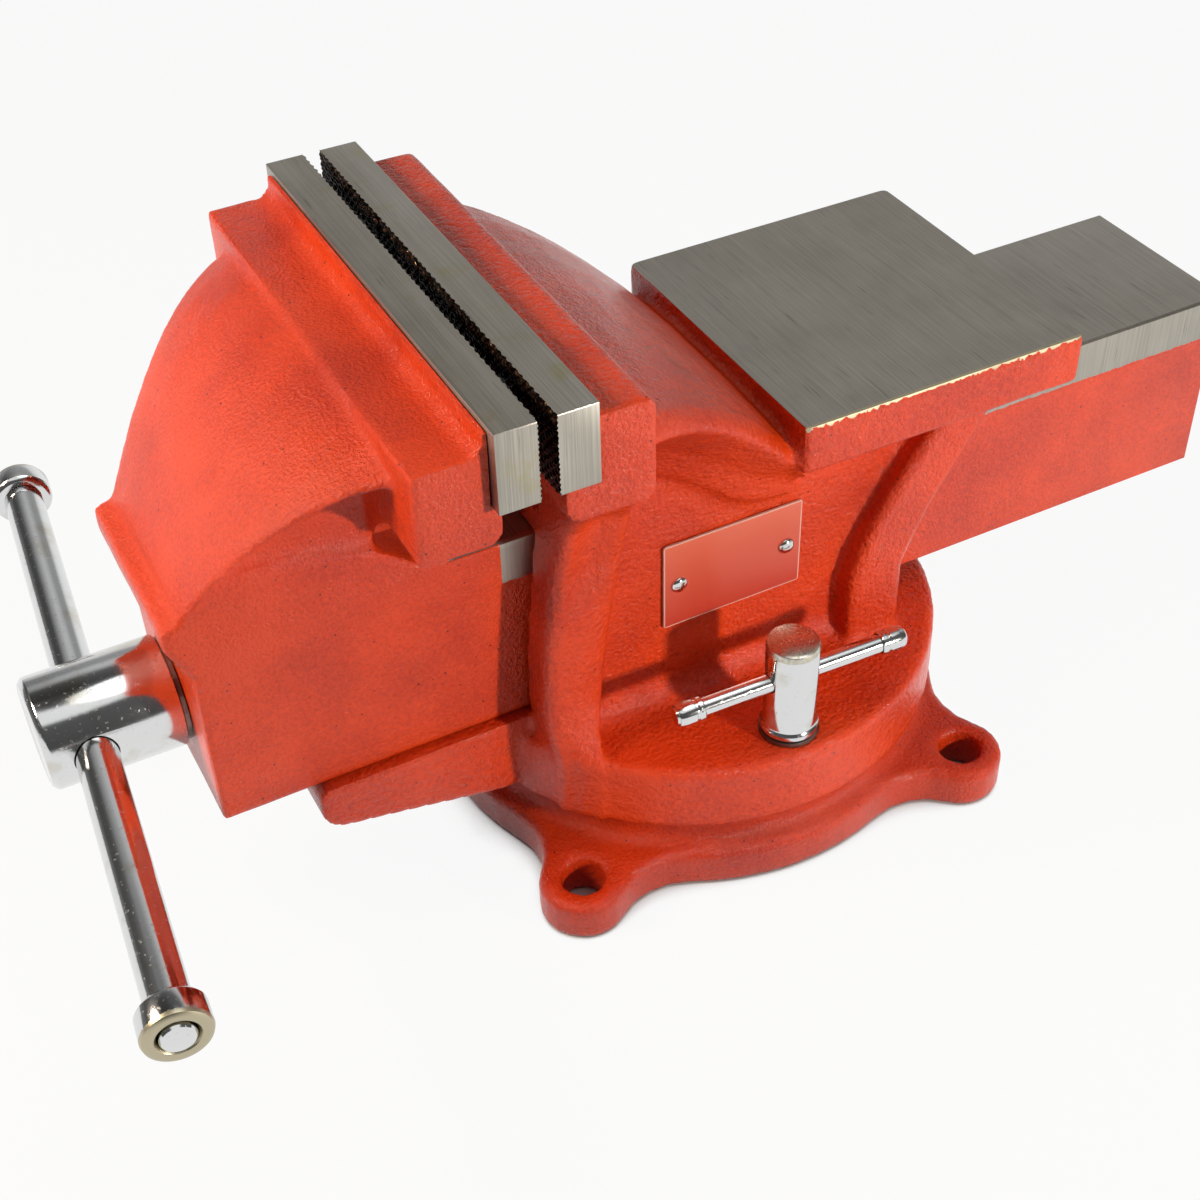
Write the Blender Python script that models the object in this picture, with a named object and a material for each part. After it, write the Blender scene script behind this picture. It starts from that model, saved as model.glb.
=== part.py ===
# Machinist bench vise on a swivel base, built as separate solids in one frame.
# Metres, +Z up. The origin is on the swivel axis at the bench face. +X runs along the lead
# screw, from the handle towards the anvil, and the jaws face each other along X.

import math

import bmesh
import bpy
from mathutils import Matrix, Vector

# Fits shared by all pieces
SEAT_GAP = 0.0003
RUNNING_GAP = 0.0003
OVERRUN = 0.003
WELD = 0.000001
CAST_OVERLAP = 0.004
SMALL_STEPS = 16
ROUND_STEPS = 18
BRIGHT_STEPS = 24
FINE_STEPS = 54
HIDDEN_STEPS = 32

# Jaw plates
JAW_RISE = 0.0700
JAW_WIDTH = 0.150
PLATE_HEIGHT = 0.0233
PLATE_THICKNESS = 0.0114
PLATE_EDGE = 0.0006
FIXED_FACE_X = -0.0762
REST_OPENING = 0.0044
PLATE_SCREW_SPACING = 0.090
PLATE_SCREW_DROP = 0.0143
PLATE_SCREW_RADIUS = 0.0038
PLATE_SCREW_HEAD_RADIUS = 0.0070
PLATE_SCREW_LENGTH = 0.020
PLATE_SCREW_SUNK = 0.0008

# Moving jaw
MOVING_BLOCK_WIDTH = 0.1428
MOVING_BLOCK_HEIGHT = 0.0270
SHELF_DROP = 0.0076
SHELF_DEPTH = 0.0183
SHELF_FILLET = 0.0042
BACKING_THICKNESS = 0.0012
BACKING_DROP = 0.0014
MOVING_LEDGE = 0.0030
HOOD_RUN = 0.0500
HOOD_DROP = 0.0070
HOOD_NOSE_RISE = 0.0099
HOOD_WIDTH = 0.1235
HOOD_CROWN = 0.0066
HOOD_EDGE = 0.0016
FLANK_INSET = 0.0026
FLANK_HEIGHT = 0.0185
GUSSET_REACH = 0.0320
GUSSET_HEIGHT = 0.0180
LIP_DEPTH = 0.0056
LIP_TOP_RISE = 0.0075
LIP_HEIGHT = 0.0185
LIP_FACE = 0.0070
NOSE_WALL = 0.0140

# Slide bar of the moving jaw
SLIDE_WIDTH = 0.0605
SLIDE_STAND = 0.00675
SLIDE_HEIGHT = 0.0644
SLIDE_LENGTH = 0.3413
SLIDE_WALL = 0.0090
SLIDE_ROOF = 0.0110
SLIDE_BAND = 0.0148
BAND_PROUD = 0.0004
SLIDE_EDGE = 0.0008

# Fixed body casting
FIXED_JAW_WIDTH = 0.1480
FIXED_JAW_HEIGHT = 0.0300
FIXED_JAW_DEPTH = 0.0152
FIXED_JAW_DROP = 0.0043
FIXED_LEDGE = 0.0095
FIXED_FAR_TRIM = 0.0040
JAW_CORNER = 0.0045
BODY_WIDTH = 0.0760
BODY_FRONT_DEPTH = 0.0010
SHOULDER_DROP = 0.0125
SHOULDER_CROWN = 0.0034
SHOULDER_END_WIDTH = 0.0940
SHOULDER_END_RISE = 0.0050
SHOULDER_FLANK = 0.0360
ANVIL_FRONT_X = 0.0101
ANVIL_LENGTH = 0.0947
ANVIL_WIDTH = 0.1012
ANVIL_RISE = 0.0203
ANVIL_THICKNESS = 0.0159
ANVIL_EDGE = 0.0008
ANVIL_FLARE = 0.0090
FOOT_FLARE = 0.0070
RIB_REAR_X = 0.0520
RIB_THICKNESS = 0.0195
RIB_PROUD = 0.0080
RIB_SWEEP = 0.0315
RIB_BEND_RISE = 0.02415
RIB_EDGE = 0.0025
COLUMN_WIDTH = 0.0230
COLUMN_PROUD = 0.0080
COLUMN_LEAN = 0.0080
COLUMN_FLARE = 0.0220
COLUMN_HOLLOW = 0.0040
RIDGE_SHARE = 0.16
RIDGE_CROWN_SHARE = 0.15
COLUMN_FOOT_RISE = 0.0004
COLUMN_SLANT = 0.0150
TONGUE_WIDTH = 0.0660
TONGUE_REACH = 0.0707
TONGUE_FRONT_HEIGHT = 0.0150
TONGUE_ROUND = 0.0080

# Turntable and swivel base
TURNTABLE_HEIGHT = 0.0226
TURNTABLE_EDGE = 0.0020
TURNTABLE_LAND = 0.0260
TURNTABLE_RECESS = 0.0100
PIVOT_RADIUS = 0.0120
PIVOT_HEIGHT = 0.0110
PIVOT_BOSS_RADIUS = 0.0170
BASE_HEIGHT = 0.02295
BASE_TURN = math.radians(-4.55)
RIM_RADIUS = 0.0825
RIM_STEP = 0.0022
RIM_EDGE = 0.0015
COVE_DEPTH = 0.0036
COVE_RADIUS = 0.0042
LUG_COUNT = 4
LUG_SPREAD = math.radians(85.1)
LUG_REACH = 0.0125
LUG_RADIUS = 0.0132
LUG_HEIGHT = 0.0140
LUG_FILLET = 0.0210
LUG_HOLE_RADIUS = 0.0066
UNDERSIDE_RELIEF = 0.0020
HUB_RADIUS = 0.0260
RIM_LAND = 0.0110

# Lock studs, their nuts and tommy bars
LOCK_INSET = 0.0120
LOCK_TURN = math.radians(-92.0)
STUD_RADIUS = 0.0050
STUD_HEAD_SIDE = 0.0160
STUD_HEAD_HEIGHT = 0.0070
STUD_ENGAGEMENT = 0.0100
SLOT_SIDE_GAP = 0.0012
SLOT_NECK_GAP = 0.0007
SLOT_FLOOR = 0.0040
LOCK_NUT_RADIUS = 0.0078
LOCK_NUT_HEIGHT = 0.0325
LOCK_NUT_FOOT_RADIUS = 0.0086
LOCK_NUT_FOOT_HEIGHT = 0.0024
LOCK_NUT_EDGE = 0.0012
LOCK_WASHER_RADIUS = 0.0090
LOCK_WASHER_THICKNESS = 0.0014
LOCK_BAR_RADIUS = 0.0028
LOCK_BAR_LENGTH = 0.0755
LOCK_BAR_HEIGHT = 0.0190
LOCK_COLLAR_RADIUS = 0.0036
LOCK_COLLAR_LENGTH = 0.0085
COLLAR_WALL_GAP = 0.0002

# Lead screw, its nut and its retaining collar
SCREW_HEIGHT_SHARE = 0.41615
SCREW_RADIUS = 0.0110
SCREW_HEAD_RADIUS = 0.0162
SCREW_HEAD_LENGTH = 0.0378
SCREW_HEAD_EDGE = 0.0020
SCREW_LENGTH = 0.3730
SCREW_POINT = 0.0030
THRUST_WASHER_THICKNESS = 0.0012
THRUST_WASHER_RADIUS = 0.0150
COLLAR_RADIUS = 0.0170
COLLAR_LENGTH = 0.0100
COLLAR_PIN_RADIUS = 0.0020
NUT_FRONT_X = -0.0100
NUT_LENGTH = 0.0340
NUT_WIDTH = 0.0360
NUT_FOOT_LENGTH = 0.0540
NUT_FOOT_HEIGHT = 0.0120
NUT_BOLT_SETBACK = 0.0120
NUT_BOLT_RADIUS = 0.0050
NUT_BOLT_HEAD_RADIUS = 0.0092
NUT_BOLT_HEAD_HEIGHT = 0.0066
NUT_BOLT_DEPTH = 0.0090

# Handle
HANDLE_SETBACK = 0.0144
HANDLE_RADIUS = 0.0059
HANDLE_LENGTH = 0.2310
HANDLE_SKEW = math.radians(5.3)
CAP_RADIUS = 0.0091
CAP_LENGTH = 0.0100
CAP_EDGE = 0.0016
RIVETED_END_RADIUS = 0.0046

# Nameplate
NAMEPLATE_LENGTH = 0.0460
NAMEPLATE_HEIGHT = 0.0300
NAMEPLATE_THICKNESS = 0.0008
NAMEPLATE_CENTRE_X = -0.0050
NAMEPLATE_RISE = 0.04215
RIVET_HEAD_RADIUS = 0.0026
RIVET_HEAD_HEIGHT = 0.0012
RIVET_SHANK_RADIUS = 0.0012
RIVET_SHANK_LENGTH = 0.0040
RIVET_INSET = 0.0050

# Places that several pieces share
turntable_bottom = BASE_HEIGHT + RUNNING_GAP
turntable_top = turntable_bottom + TURNTABLE_HEIGHT
recess_roof = turntable_bottom + TURNTABLE_RECESS
slide_bottom = turntable_top + SLIDE_STAND
slide_top = slide_bottom + SLIDE_HEIGHT
jaw_top = slide_top + JAW_RISE
anvil_top = slide_top + ANVIL_RISE
anvil_bottom = anvil_top - ANVIL_THICKNESS
screw_z = slide_bottom + SLIDE_HEIGHT * SCREW_HEIGHT_SHARE
channel_floor = slide_bottom - RUNNING_GAP
channel_half = SLIDE_WIDTH / 2 + RUNNING_GAP
fixed_plate_back = FIXED_FACE_X + PLATE_THICKNESS
moving_face_x = FIXED_FACE_X - REST_OPENING
moving_plate_back = moving_face_x - PLATE_THICKNESS
plate_bottom = jaw_top - PLATE_HEIGHT
plate_screw_z = jaw_top - PLATE_SCREW_DROP
fixed_seat_x = fixed_plate_back + SEAT_GAP
fixed_jaw_rear = fixed_seat_x + FIXED_JAW_DEPTH
moving_seat_x = moving_plate_back - SEAT_GAP
backing_front = moving_seat_x - BACKING_THICKNESS
block_front = backing_front - SHELF_DEPTH
ledge_end = moving_seat_x + MOVING_LEDGE
nose_x = block_front - HOOD_RUN
nose_wall_rear = nose_x + NOSE_WALL
slide_rear = nose_x + SLIDE_LENGTH
body_half = BODY_WIDTH / 2
body_front = fixed_seat_x + BODY_FRONT_DEPTH
tongue_front_x = fixed_seat_x - TONGUE_REACH
rib_bend_z = turntable_top + RIB_BEND_RISE
nameplate_z = turntable_top + NAMEPLATE_RISE
turntable_radius = RIM_RADIUS - RIM_STEP
lug_circle = RIM_RADIUS + LUG_REACH
lock_circle = turntable_radius - LOCK_INSET
foot_flare = min(FOOT_FLARE, lock_circle - LOCK_WASHER_RADIUS - RUNNING_GAP - body_half)
slot_head_half = STUD_HEAD_SIDE / 2 + SLOT_SIDE_GAP
slot_roof = UNDERSIDE_RELIEF + SLOT_FLOOR + STUD_HEAD_HEIGHT + 2 * RUNNING_GAP
washer_top = turntable_top + SEAT_GAP + LOCK_WASHER_THICKNESS
lock_nut_bottom = washer_top + SEAT_GAP
head_rear = nose_x - 2 * SEAT_GAP - THRUST_WASHER_THICKNESS
head_front = head_rear - SCREW_HEAD_LENGTH
screw_tip = head_front + SCREW_LENGTH
nut_bolt_x = NUT_FRONT_X + NUT_FOOT_LENGTH - NUT_BOLT_SETBACK
# the head's cross hole is drilled a little off square, so the level bar leans away from the jaw
handle_along = Vector((math.sin(HANDLE_SKEW), math.cos(HANDLE_SKEW), 0))
handle_centre = Vector((head_front + HANDLE_SETBACK, 0, screw_z))
lock_places = [
    Vector((lock_circle * math.cos(turn), lock_circle * math.sin(turn), 0))
    for turn in (LOCK_TURN, LOCK_TURN + math.pi)
]
lock_bar_turns = [LOCK_TURN + math.pi / 2, LOCK_TURN + 3 * math.pi / 2]


def clear_scene():
    for old in list(bpy.data.objects):
        bpy.data.objects.remove(old, do_unlink=True)


def material(name, colour, roughness, metallic):
    made = bpy.data.materials.new(name)
    made.use_nodes = True
    shader = made.node_tree.nodes["Principled BSDF"]
    shader.inputs["Base Color"].default_value = (*colour, 1)
    shader.inputs["Roughness"].default_value = roughness
    shader.inputs["Metallic"].default_value = metallic
    return made


def shade(mesh):
    mesh.shade_smooth()
    mesh.set_sharp_from_angle(angle=math.radians(35))


def solid(name, bm):
    # Turns a finished bmesh into an object with outward faces.
    bmesh.ops.recalc_face_normals(bm, faces=bm.faces[:])
    if bm.calc_volume(signed=True) < 0:
        bmesh.ops.reverse_faces(bm, faces=bm.faces[:])
    mesh = bpy.data.meshes.new(name)
    bm.to_mesh(mesh)
    bm.free()
    shade(mesh)
    made = bpy.data.objects.new(name, mesh)
    bpy.context.collection.objects.link(made)
    return made


def arc(centre, radius, start, sweep, steps):
    # Points on a circle from the start angle through the sweep, both ends included.
    return [
        (
            centre[0] + radius * math.cos(start + sweep * step / steps),
            centre[1] + radius * math.sin(start + sweep * step / steps),
        )
        for step in range(steps + 1)
    ]


def rounded(corners, steps=4):
    # An outline whose corners are (x, y, radius). A radius is limited by its shorter side.
    outline = []
    for index, (x, y, radius) in enumerate(corners):
        here = Vector((x, y))
        back = Vector(corners[index - 1][:2]) - here
        ahead = Vector(corners[(index + 1) % len(corners)][:2]) - here
        half = back.angle(ahead) / 2
        setback = min(radius / math.tan(half), back.length * 0.49, ahead.length * 0.49)
        if setback <= 0:
            outline.append((x, y))
            continue
        radius = setback * math.tan(half)
        centre = here + (back.normalized() + ahead.normalized()).normalized() * radius / math.sin(half)
        first = here + back.normalized() * setback - centre
        last = here + ahead.normalized() * setback - centre
        start = math.atan2(first.y, first.x)
        sweep = math.remainder(math.atan2(last.y, last.x) - start, math.tau)
        outline += arc(centre, radius, start, sweep, steps)
    return outline


def in_space(point, axis, along):
    # Places a plane point and a distance along an axis: (y, z) for X, (x, z) for Y, (x, y) for Z.
    a, b = point
    return {"X": (along, a, b), "Y": (a, along, b), "Z": (a, b, along)}[axis]


def loft(name, rings, edge=0, edge_steps=2):
    # Skins rings that have the same number of points, and closes both ends.
    bm = bmesh.new()
    rows = [[bm.verts.new(point) for point in ring] for ring in rings]
    count = len(rows[0])
    for low, high in zip(rows, rows[1:]):
        for index in range(count):
            after = (index + 1) % count
            bm.faces.new((low[index], low[after], high[after], high[index]))
    bm.faces.new(rows[0])
    bm.faces.new(rows[-1])
    if edge:
        bmesh.ops.recalc_face_normals(bm, faces=bm.faces[:])
        sharp = [line for line in bm.edges if line.calc_face_angle(0) > math.radians(50)]
        bmesh.ops.bevel(bm, geom=sharp, offset=edge, segments=edge_steps, profile=0.5, affect="EDGES")
    return solid(name, bm)


def prism(name, outline, axis, low, high, edge=0, edge_steps=2):
    rings = [[in_space(p, axis, along) for p in outline] for along in (low, high)]
    return loft(name, rings, edge, edge_steps)


def box(name, low, high, edge=0):
    outline = [(low[0], low[1]), (high[0], low[1]), (high[0], high[1]), (low[0], high[1])]
    return prism(name, outline, "Z", low[2], high[2], edge)


def turned(name, profile, steps=ROUND_STEPS, axis=(0, 0, 1), centre=(0, 0, 0)):
    # Spins a closed profile of (radius, along) points about an axis through the centre.
    bm = bmesh.new()
    points = [bm.verts.new((radius, 0, along)) for radius, along in profile]
    lines = [bm.edges.new((a, b)) for a, b in zip(points, points[1:])]
    if profile[0][0] or profile[-1][0]:
        lines.append(bm.edges.new((points[-1], points[0])))
    bmesh.ops.spin(
        bm,
        geom=points + lines,
        cent=(0, 0, 0),
        axis=(0, 0, 1),
        angle=math.tau,
        steps=steps,
        use_merge=True,
    )
    bmesh.ops.remove_doubles(bm, verts=bm.verts[:], dist=WELD)
    turn = Vector((0, 0, 1)).rotation_difference(Vector(axis)).to_matrix().to_4x4()
    bm.transform(Matrix.Translation(centre) @ turn)
    return solid(name, bm)


def rod(name, radius, low, high, axis=(0, 0, 1), centre=(0, 0, 0), edge=0, steps=ROUND_STEPS):
    profile = [(0, low), (radius - edge, low), (radius, low + edge)]
    profile += [(radius, high - edge), (radius - edge, high), (0, high)]
    if not edge:
        profile = [(0, low), (radius, low), (radius, high), (0, high)]
    return turned(name, profile, steps, axis, centre)


def combine(target, operation, *helpers):
    # Joins or cuts with the helpers, keeps the result as the target's own mesh and drops them.
    for helper in helpers:
        change = target.modifiers.new(helper.name, "BOOLEAN")
        change.operation = operation
        change.object = helper
        change.solver = "EXACT"
    bpy.context.view_layer.update()
    graph = bpy.context.evaluated_depsgraph_get()
    mesh = bpy.data.meshes.new_from_object(target.evaluated_get(graph))
    target.modifiers.clear()
    target.data = mesh
    shade(mesh)
    for helper in helpers:
        bpy.data.objects.remove(helper, do_unlink=True)
    return target


def join(target, *helpers):
    return combine(target, "UNION", *helpers)


def cut(target, *helpers):
    return combine(target, "DIFFERENCE", *helpers)


def mirrored(points):
    # Completes a symmetric section from its right half, listed top to bottom.
    return points + [(-a, b) for a, b in reversed(points) if a]


# Swivel base: a round casting with four bolt lugs and a T-slot ring for the lock studs
def lug_angle(index):
    # Half of the lugs stand on each side of the slide, and the pairs face each other.
    side = -math.pi / 2 if index < LUG_COUNT / 2 else math.pi / 2
    return BASE_TURN + side + LUG_SPREAD * (index % 2 - 0.5)


def lug_centre(index):
    turn = lug_angle(index)
    return Vector((math.cos(turn), math.sin(turn))) * lug_circle


def base_outline():
    far = RIM_RADIUS + LUG_FILLET
    near = LUG_RADIUS + LUG_FILLET
    spread = math.acos((far**2 + lug_circle**2 - near**2) / (2 * far * lug_circle))
    outline = []
    for index in range(LUG_COUNT):
        lug = lug_centre(index)
        turn = lug_angle(index)
        before, after = [
            Vector((math.cos(turn + side), math.sin(turn + side))) * far for side in (-spread, spread)
        ]
        to_lug, from_lug = [math.atan2(*reversed(lug - middle)) for middle in (before, after)]
        to_rim = turn - spread + math.pi
        bend = math.remainder(to_lug - to_rim, math.tau)
        outline += arc(before, LUG_FILLET, to_rim, bend, 4)
        around = (from_lug + math.pi - to_lug - math.pi) % math.tau
        outline += arc(lug, LUG_RADIUS, to_lug + math.pi, around, 10)[1:-1]
        outline += arc(after, LUG_FILLET, from_lug, bend, 4)
        rim_sweep = (lug_angle((index + 1) % LUG_COUNT) - turn) % math.tau - 2 * spread
        outline += arc((0, 0), RIM_RADIUS, turn + spread, rim_sweep, 8)[1:-1]
    return outline


def make_base(paint):
    base = prism("swivel_base", base_outline(), "Z", 0, LUG_HEIGHT, RIM_EDGE, 1)
    # The drum is hollowed in a cove above the rim, so that the turntable overhangs it
    drum_radius = turntable_radius - COVE_DEPTH
    cove_centre = (drum_radius + COVE_RADIUS, LUG_HEIGHT + COVE_RADIUS)
    cove = arc(cove_centre, COVE_RADIUS, math.pi, math.pi / 2, 4)
    drum_foot = LUG_HEIGHT - OVERRUN
    spigot_top = BASE_HEIGHT + PIVOT_HEIGHT
    drum = [(0, spigot_top), (PIVOT_RADIUS - PLATE_EDGE, spigot_top)]
    drum += [(PIVOT_RADIUS, spigot_top - PLATE_EDGE), (PIVOT_RADIUS, BASE_HEIGHT)]
    drum += [(drum_radius, BASE_HEIGHT)] + cove
    drum += [(drum_radius + COVE_RADIUS, drum_foot), (0, drum_foot)]
    join(base, turned("base_drum", drum, FINE_STEPS))
    relief_outer = RIM_RADIUS - RIM_LAND
    relief = [(HUB_RADIUS, -OVERRUN), (relief_outer, -OVERRUN)]
    relief += [(relief_outer, UNDERSIDE_RELIEF), (HUB_RADIUS, UNDERSIDE_RELIEF)]
    cut(base, turned("base_relief", relief, HIDDEN_STEPS))
    neck = STUD_RADIUS + SLOT_NECK_GAP
    slot_bottom = UNDERSIDE_RELIEF + SLOT_FLOOR
    slot = [
        (lock_circle - slot_head_half, slot_bottom),
        (lock_circle + slot_head_half, slot_bottom),
        (lock_circle + slot_head_half, slot_roof),
        (lock_circle + neck, slot_roof),
        (lock_circle + neck, BASE_HEIGHT + OVERRUN),
        (lock_circle - neck, BASE_HEIGHT + OVERRUN),
        (lock_circle - neck, slot_roof),
        (lock_circle - slot_head_half, slot_roof),
    ]
    cut(base, turned("base_t_slot", slot, HIDDEN_STEPS))
    entry_low = (-slot_head_half, lock_circle - slot_head_half, -OVERRUN)
    entry_high = (slot_head_half, lock_circle + slot_head_half, slot_roof / 2)
    cut(base, box("base_stud_entry", entry_low, entry_high))
    for index in range(LUG_COUNT):
        place = lug_centre(index).to_3d()
        hole_top = LUG_HEIGHT + OVERRUN
        cut(base, rod(f"lug_hole_{index}", LUG_HOLE_RADIUS, -OVERRUN, hole_top, centre=place))
    base.data.materials.append(paint)
    return base


# Fixed body: turntable, walls, ribbed columns, jaw tower, shoulder and anvil in one casting
def shoulder_rings():
    top = jaw_top - FIXED_JAW_DROP - SHOULDER_DROP
    start = fixed_jaw_rear - 2 * CAST_OVERLAP
    run = ANVIL_FRONT_X + CAST_OVERLAP - start
    fall = top - slide_top - SHOULDER_END_RISE
    narrowing = (FIXED_JAW_WIDTH - SHOULDER_END_WIDTH) / 2
    rings = []
    for step in range(11):
        share = step / 10
        half = SHOULDER_END_WIDTH / 2 + narrowing * (1 - share) ** 1.4
        ridge = top - fall * share**1.8
        foot = max(ridge - SHOULDER_FLANK, anvil_bottom - ANVIL_THICKNESS)
        section = [
            (0, ridge + SHOULDER_CROWN),
            (half * 0.35, ridge + SHOULDER_CROWN * 0.95),
            (half * 0.7, ridge + SHOULDER_CROWN * 0.7),
            (half - JAW_CORNER, ridge + SHOULDER_CROWN * 0.2),
            (half - JAW_CORNER * 0.3, ridge - JAW_CORNER * 0.3),
            (half, ridge - JAW_CORNER),
            (half * 0.35 + body_half * 0.65, ridge * 0.45 + foot * 0.55),
            (body_half + RIB_EDGE, foot * 0.85 + ridge * 0.15),
            (body_half - RIB_EDGE, foot),
            (0, foot),
        ]
        rings.append([in_space(p, "X", start + run * share) for p in mirrored(section)])
    return rings


def rib_outline():
    # The rear rib stands on the turntable and sweeps back under the anvil.
    rise = anvil_bottom + CAST_OVERLAP - rib_bend_z
    shares = [step / 6 for step in range(7)]
    rear = [(RIB_REAR_X + RIB_SWEEP * t**1.2, rib_bend_z + rise * t) for t in shares]
    front_x = RIB_REAR_X - RIB_THICKNESS
    front = [(front_x + RIB_SWEEP * t**1.4, rib_bend_z + rise * t) for t in shares]
    low = turntable_top - CAST_OVERLAP
    return [(front_x, low), (RIB_REAR_X, low)] + rear + front[::-1]


def column_rings(side):
    # Each front column leans back as it rises. It opens out under the end of the jaw, with a
    # hollow between two ridges, and its foot stands proud of the turntable's side.
    top = jaw_top - FIXED_JAW_DROP - FIXED_JAW_HEIGHT + CAST_OVERLAP
    foot = turntable_bottom + COLUMN_FOOT_RISE
    out = body_half + COLUMN_PROUD
    # (height share, lean share, width share, flare share, hollow share, slant share)
    form_shares = [
        (0.00, 0.50, 0.48, 0.10, 0, 0.60),
        (0.17, 0.56, 0.52, 0.16, 0, 0.50),
        (0.22, 0.69, 0.65, 0.10, 0, 0.15),
        (0.29, 0.79, 0.81, 0.04, 0, 0.03),
        (0.42, 0.70, 0.90, 0.00, 0, 0),
        (0.55, 0.50, 0.97, 0.00, 0.2, 0),
        (0.66, 0.28, 1.00, 0.02, 0.7, 0),
        (0.78, 0.00, 0.97, 0.14, 1.0, 0),
        (0.84, -0.10, 0.88, 0.40, 1.0, 0),
        (0.90, -0.20, 0.66, 0.78, 0.9, 0),
        (0.96, -0.25, 0.52, 1.12, 0.5, 0),
        (1.00, -0.25, 0.50, 1.12, 0.3, 0),
    ]
    # a ridge's corners, as shares of the ridge: in from the front or back, and down from its reach
    front_shares = [(0, 1.1), (0.3, 0.4), (1, 0)]
    back_shares = [(1, 0.2), (0.3, 0.6), (0, 1.3)]
    rings = []
    for height, lean, width, flare, hollow, slant in form_shares:
        front = body_front - COLUMN_LEAN * lean
        back = front + COLUMN_WIDTH * width
        reach = out + COLUMN_FLARE * flare
        rear_reach = reach + COLUMN_SLANT * slant
        ridge = (back - front) * RIDGE_SHARE
        middle = (reach + rear_reach) / 2 + ridge * RIDGE_CROWN_SHARE - COLUMN_HOLLOW * hollow
        outline = [(front, channel_half + RIB_EDGE)]
        outline += [(front + ridge * inwards, reach - ridge * down) for inwards, down in front_shares]
        outline.append(((front + back) / 2, middle))
        outline += [(back - ridge * inwards, rear_reach - ridge * down) for inwards, down in back_shares]
        outline.append((back, channel_half + RIB_EDGE))
        rings.append([(x, side * y, foot + (top - foot) * height) for x, y in outline])
    return rings


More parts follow.
